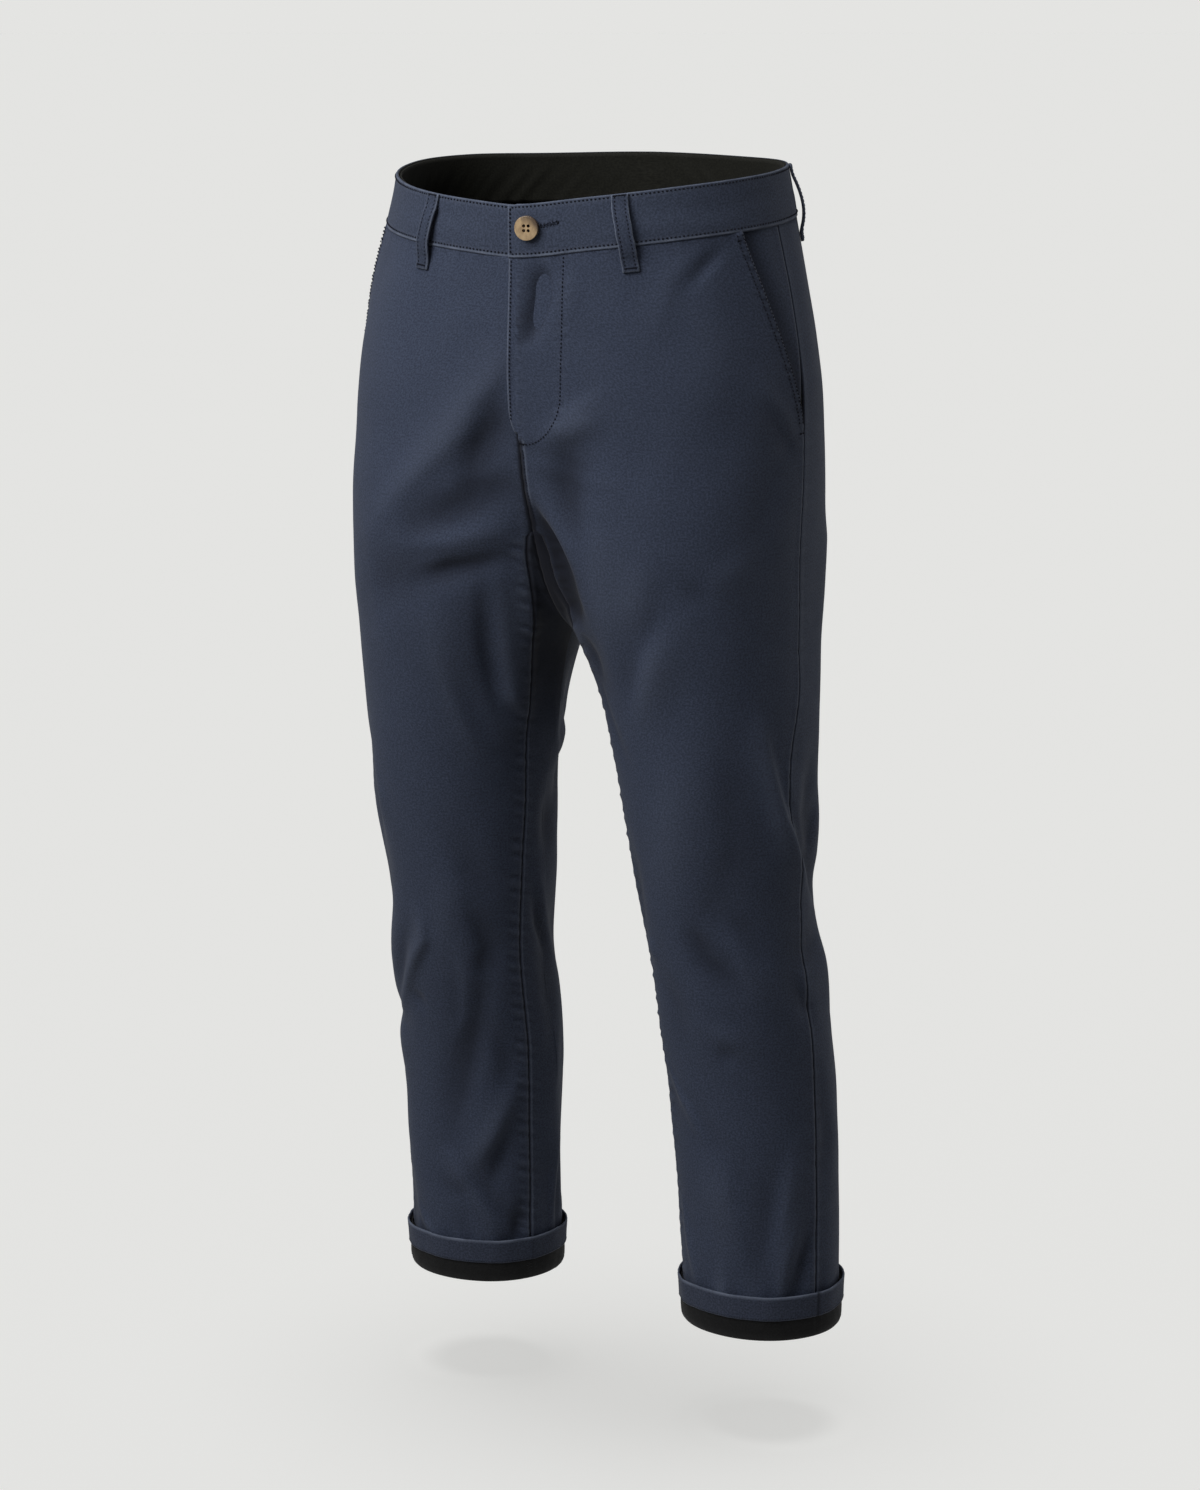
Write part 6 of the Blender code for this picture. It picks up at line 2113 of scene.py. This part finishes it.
@dataclass
class Studio:
    """Pale lit floor that runs to the horizon, soft lights and the camera."""

    floor: float = -1.02
    floor_reach: float = 400.0
    floor_colour: Colour = (0.50, 0.50, 0.49)
    floor_glow: Colour = (0.559, 0.559, 0.547)
    wall_colour: Colour = (0.0, 0.0, 0.0)
    wall_glow: Colour = (0.776, 0.776, 0.761)
    wall_height: float = 30.0
    wall_place: float = 0.9
    world: Colour = (0.97, 0.98, 1.0)
    world_strength: float = 0.12
    target: Colour = (0.0105, 0.002, -0.452)
    azimuth: float = 26.0
    pitch: float = 11.0
    distance: float = 3.0
    lens: float = 90.0
    sensor: float = 36.0
    sun_distance: float = 4.0
    lights: tuple[SoftLight, ...] = (
        SoftLight("key_box", -0.587, 0.492, 0.643, 35.0, 2.65, distance=2.4),
        SoftLight("side_light", 0.88, -0.32, 0.34, 35.0, 0.36),
        SoftLight("top_light", -0.05, 0.06, 1.00, 30.0, 1.0, on_floor=True),
    )

    def build(self) -> None:
        """Make the floor, the lights, the world and the camera."""
        reach = self.floor_reach
        _, toward, up = self.axes()
        floor = self.make_sheet("floor", Vector((0, 0, self.floor)), Vector((1, 0, 0)), Vector((0, 1, 0)),
                                self.floor_colour, self.floor_glow)
        wall = self.make_sheet("wall", -self.wall_place * reach * toward, up.cross(toward),
                               self.wall_height / reach * up, self.wall_colour, self.wall_glow)
        spared = bpy.data.collections.new("spared")
        for k, sheet in enumerate((floor, wall)):
            spared.objects.link(sheet)
            spared.collection_objects[k].light_linking.link_state = "EXCLUDE"
        for light in self.lights:
            self.make_light(light, spared)
        scene = bpy.context.scene
        scene.world = bpy.data.worlds.new("studio")
        scene.world.use_nodes = True
        tree = scene.world.node_tree
        Nodes(tree).fill(tree.nodes["Background"], Color=tint(self.world), Strength=self.world_strength)
        self.make_camera()
        scene.view_settings.view_transform = "Standard"
        scene.view_settings.look = "None"

    def make_sheet(self, name: str, middle: Vector, across: Vector, along: Vector, colour: Colour,
                   glow: Colour) -> bpy.types.Object:
        """Make a large sheet of paper that glows a little, so that it stays even.

        Args:
            name: The sheet's name.
            middle: Its middle.
            across: Direction of its width.
            along: Direction of its length.
            colour: Colour of the paper.
            glow: Light that it gives off by itself.

        Returns:
            The sheet, unseen by diffuse rays.
        """
        ways = ((-1, -1), (1, -1), (1, 1), (-1, 1))
        corners = [middle + self.floor_reach * (a * across + b * along) for a, b in ways]
        mesh = bpy.data.meshes.new(name)
        mesh.from_pydata(corners, [], [(0, 1, 2, 3)])
        paper, nodes, shader, coords = new_material(f"{name}_paper")
        tone = nodes.noise(coords.outputs["Object"], 1.5, 2.0, 0.5)
        nodes.fill(shader, Base_Color=nodes.blend(tone, tint(colour, 0.98), tint(colour)), Roughness=0.95,
                   Specular_IOR_Level=0.0, Emission_Color=tint(glow), Emission_Strength=1.0)
        sheet = show(mesh, paper)
        sheet.visible_diffuse = False
        return sheet

    def axes(self) -> tuple[Vector, Vector, Vector]:
        """Directions to the camera's right, towards the camera along the floor, and up."""
        around = math.radians(self.azimuth)
        right = Vector((math.cos(around), math.sin(around), 0))
        return right, Vector((math.sin(around), -math.cos(around), 0)), Vector((0, 0, 1))

    def stand(self, data: bpy.types.ID, away: Vector, distance: float) -> bpy.types.Object:
        """Stand a light or the camera at a distance from the middle of the legs and turn it towards them."""
        made = show(data)
        made.location = Vector(self.target) + away * distance
        made.rotation_euler = (-away).to_track_quat("-Z", "Y").to_euler()
        return made

    def make_light(self, light: SoftLight, spared: bpy.types.Collection) -> None:
        """Make one soft light, which lights the spared sheets only where it is meant for the floor."""
        right, toward, up = self.axes()
        away = (right * light.right + toward * light.toward + up * light.up).normalized()
        width = math.radians(light.width)
        data = bpy.data.lights.new(light.name, "AREA" if light.distance else "SUN")
        if light.distance:
            data.energy = light.strength * math.pi * light.distance ** 2
            data.size = 2 * light.distance * math.tan(width / 2)
        else:
            data.energy = light.strength
            data.angle = width
        made = self.stand(data, away, light.distance or self.sun_distance)
        if not light.on_floor:
            made.light_linking.receiver_collection = spared

    def make_camera(self) -> None:
        """Make the camera at its viewing angle."""
        _, toward, up = self.axes()
        down = math.radians(self.pitch)
        data = bpy.data.cameras.new("camera")
        data.lens = self.lens
        data.sensor_width = self.sensor
        data.sensor_fit = "AUTO"
        data.clip_end = 2000.0
        away = toward * math.cos(down) + up * math.sin(down)
        bpy.context.scene.camera = self.stand(data, away, self.distance)


# The whole garment


class Trousers:
    """The whole garment."""

    def __init__(self) -> None:
        """Set up the cloth, the finishes and the halves of the waistband."""
        self.cloth = Cloth()
        self.wardrobe = Wardrobe()
        self.bands = {side: Waistband(self.cloth, self.wardrobe, side) for side in Side}

    def build(self) -> None:
        """Make every piece in order."""
        kit = (self.cloth, self.wardrobe)
        for side in Side:
            FrontPanel(*kit, side).build()
            BackPanel(*kit, side).build()
            PocketFacing(*kit, side).build()
            self.bands[side].build()
            LegEnd(*kit, side).build()
        FlyUnderlap(*kit).build()
        WaistbandLining(*kit).build()
        for where in LoopPlace:
            BeltLoop(*kit, where).build()
        Topstitching(*kit, self.bands).build()
        Fastening(*kit, self.bands[Side.LEFT]).build()


def main() -> None:
    """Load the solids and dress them."""
    logging.basicConfig(level=logging.INFO, format="%(name)s: %(message)s")
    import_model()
    Trousers().build()
    Studio().build()


if __name__ == "__main__":
    main()
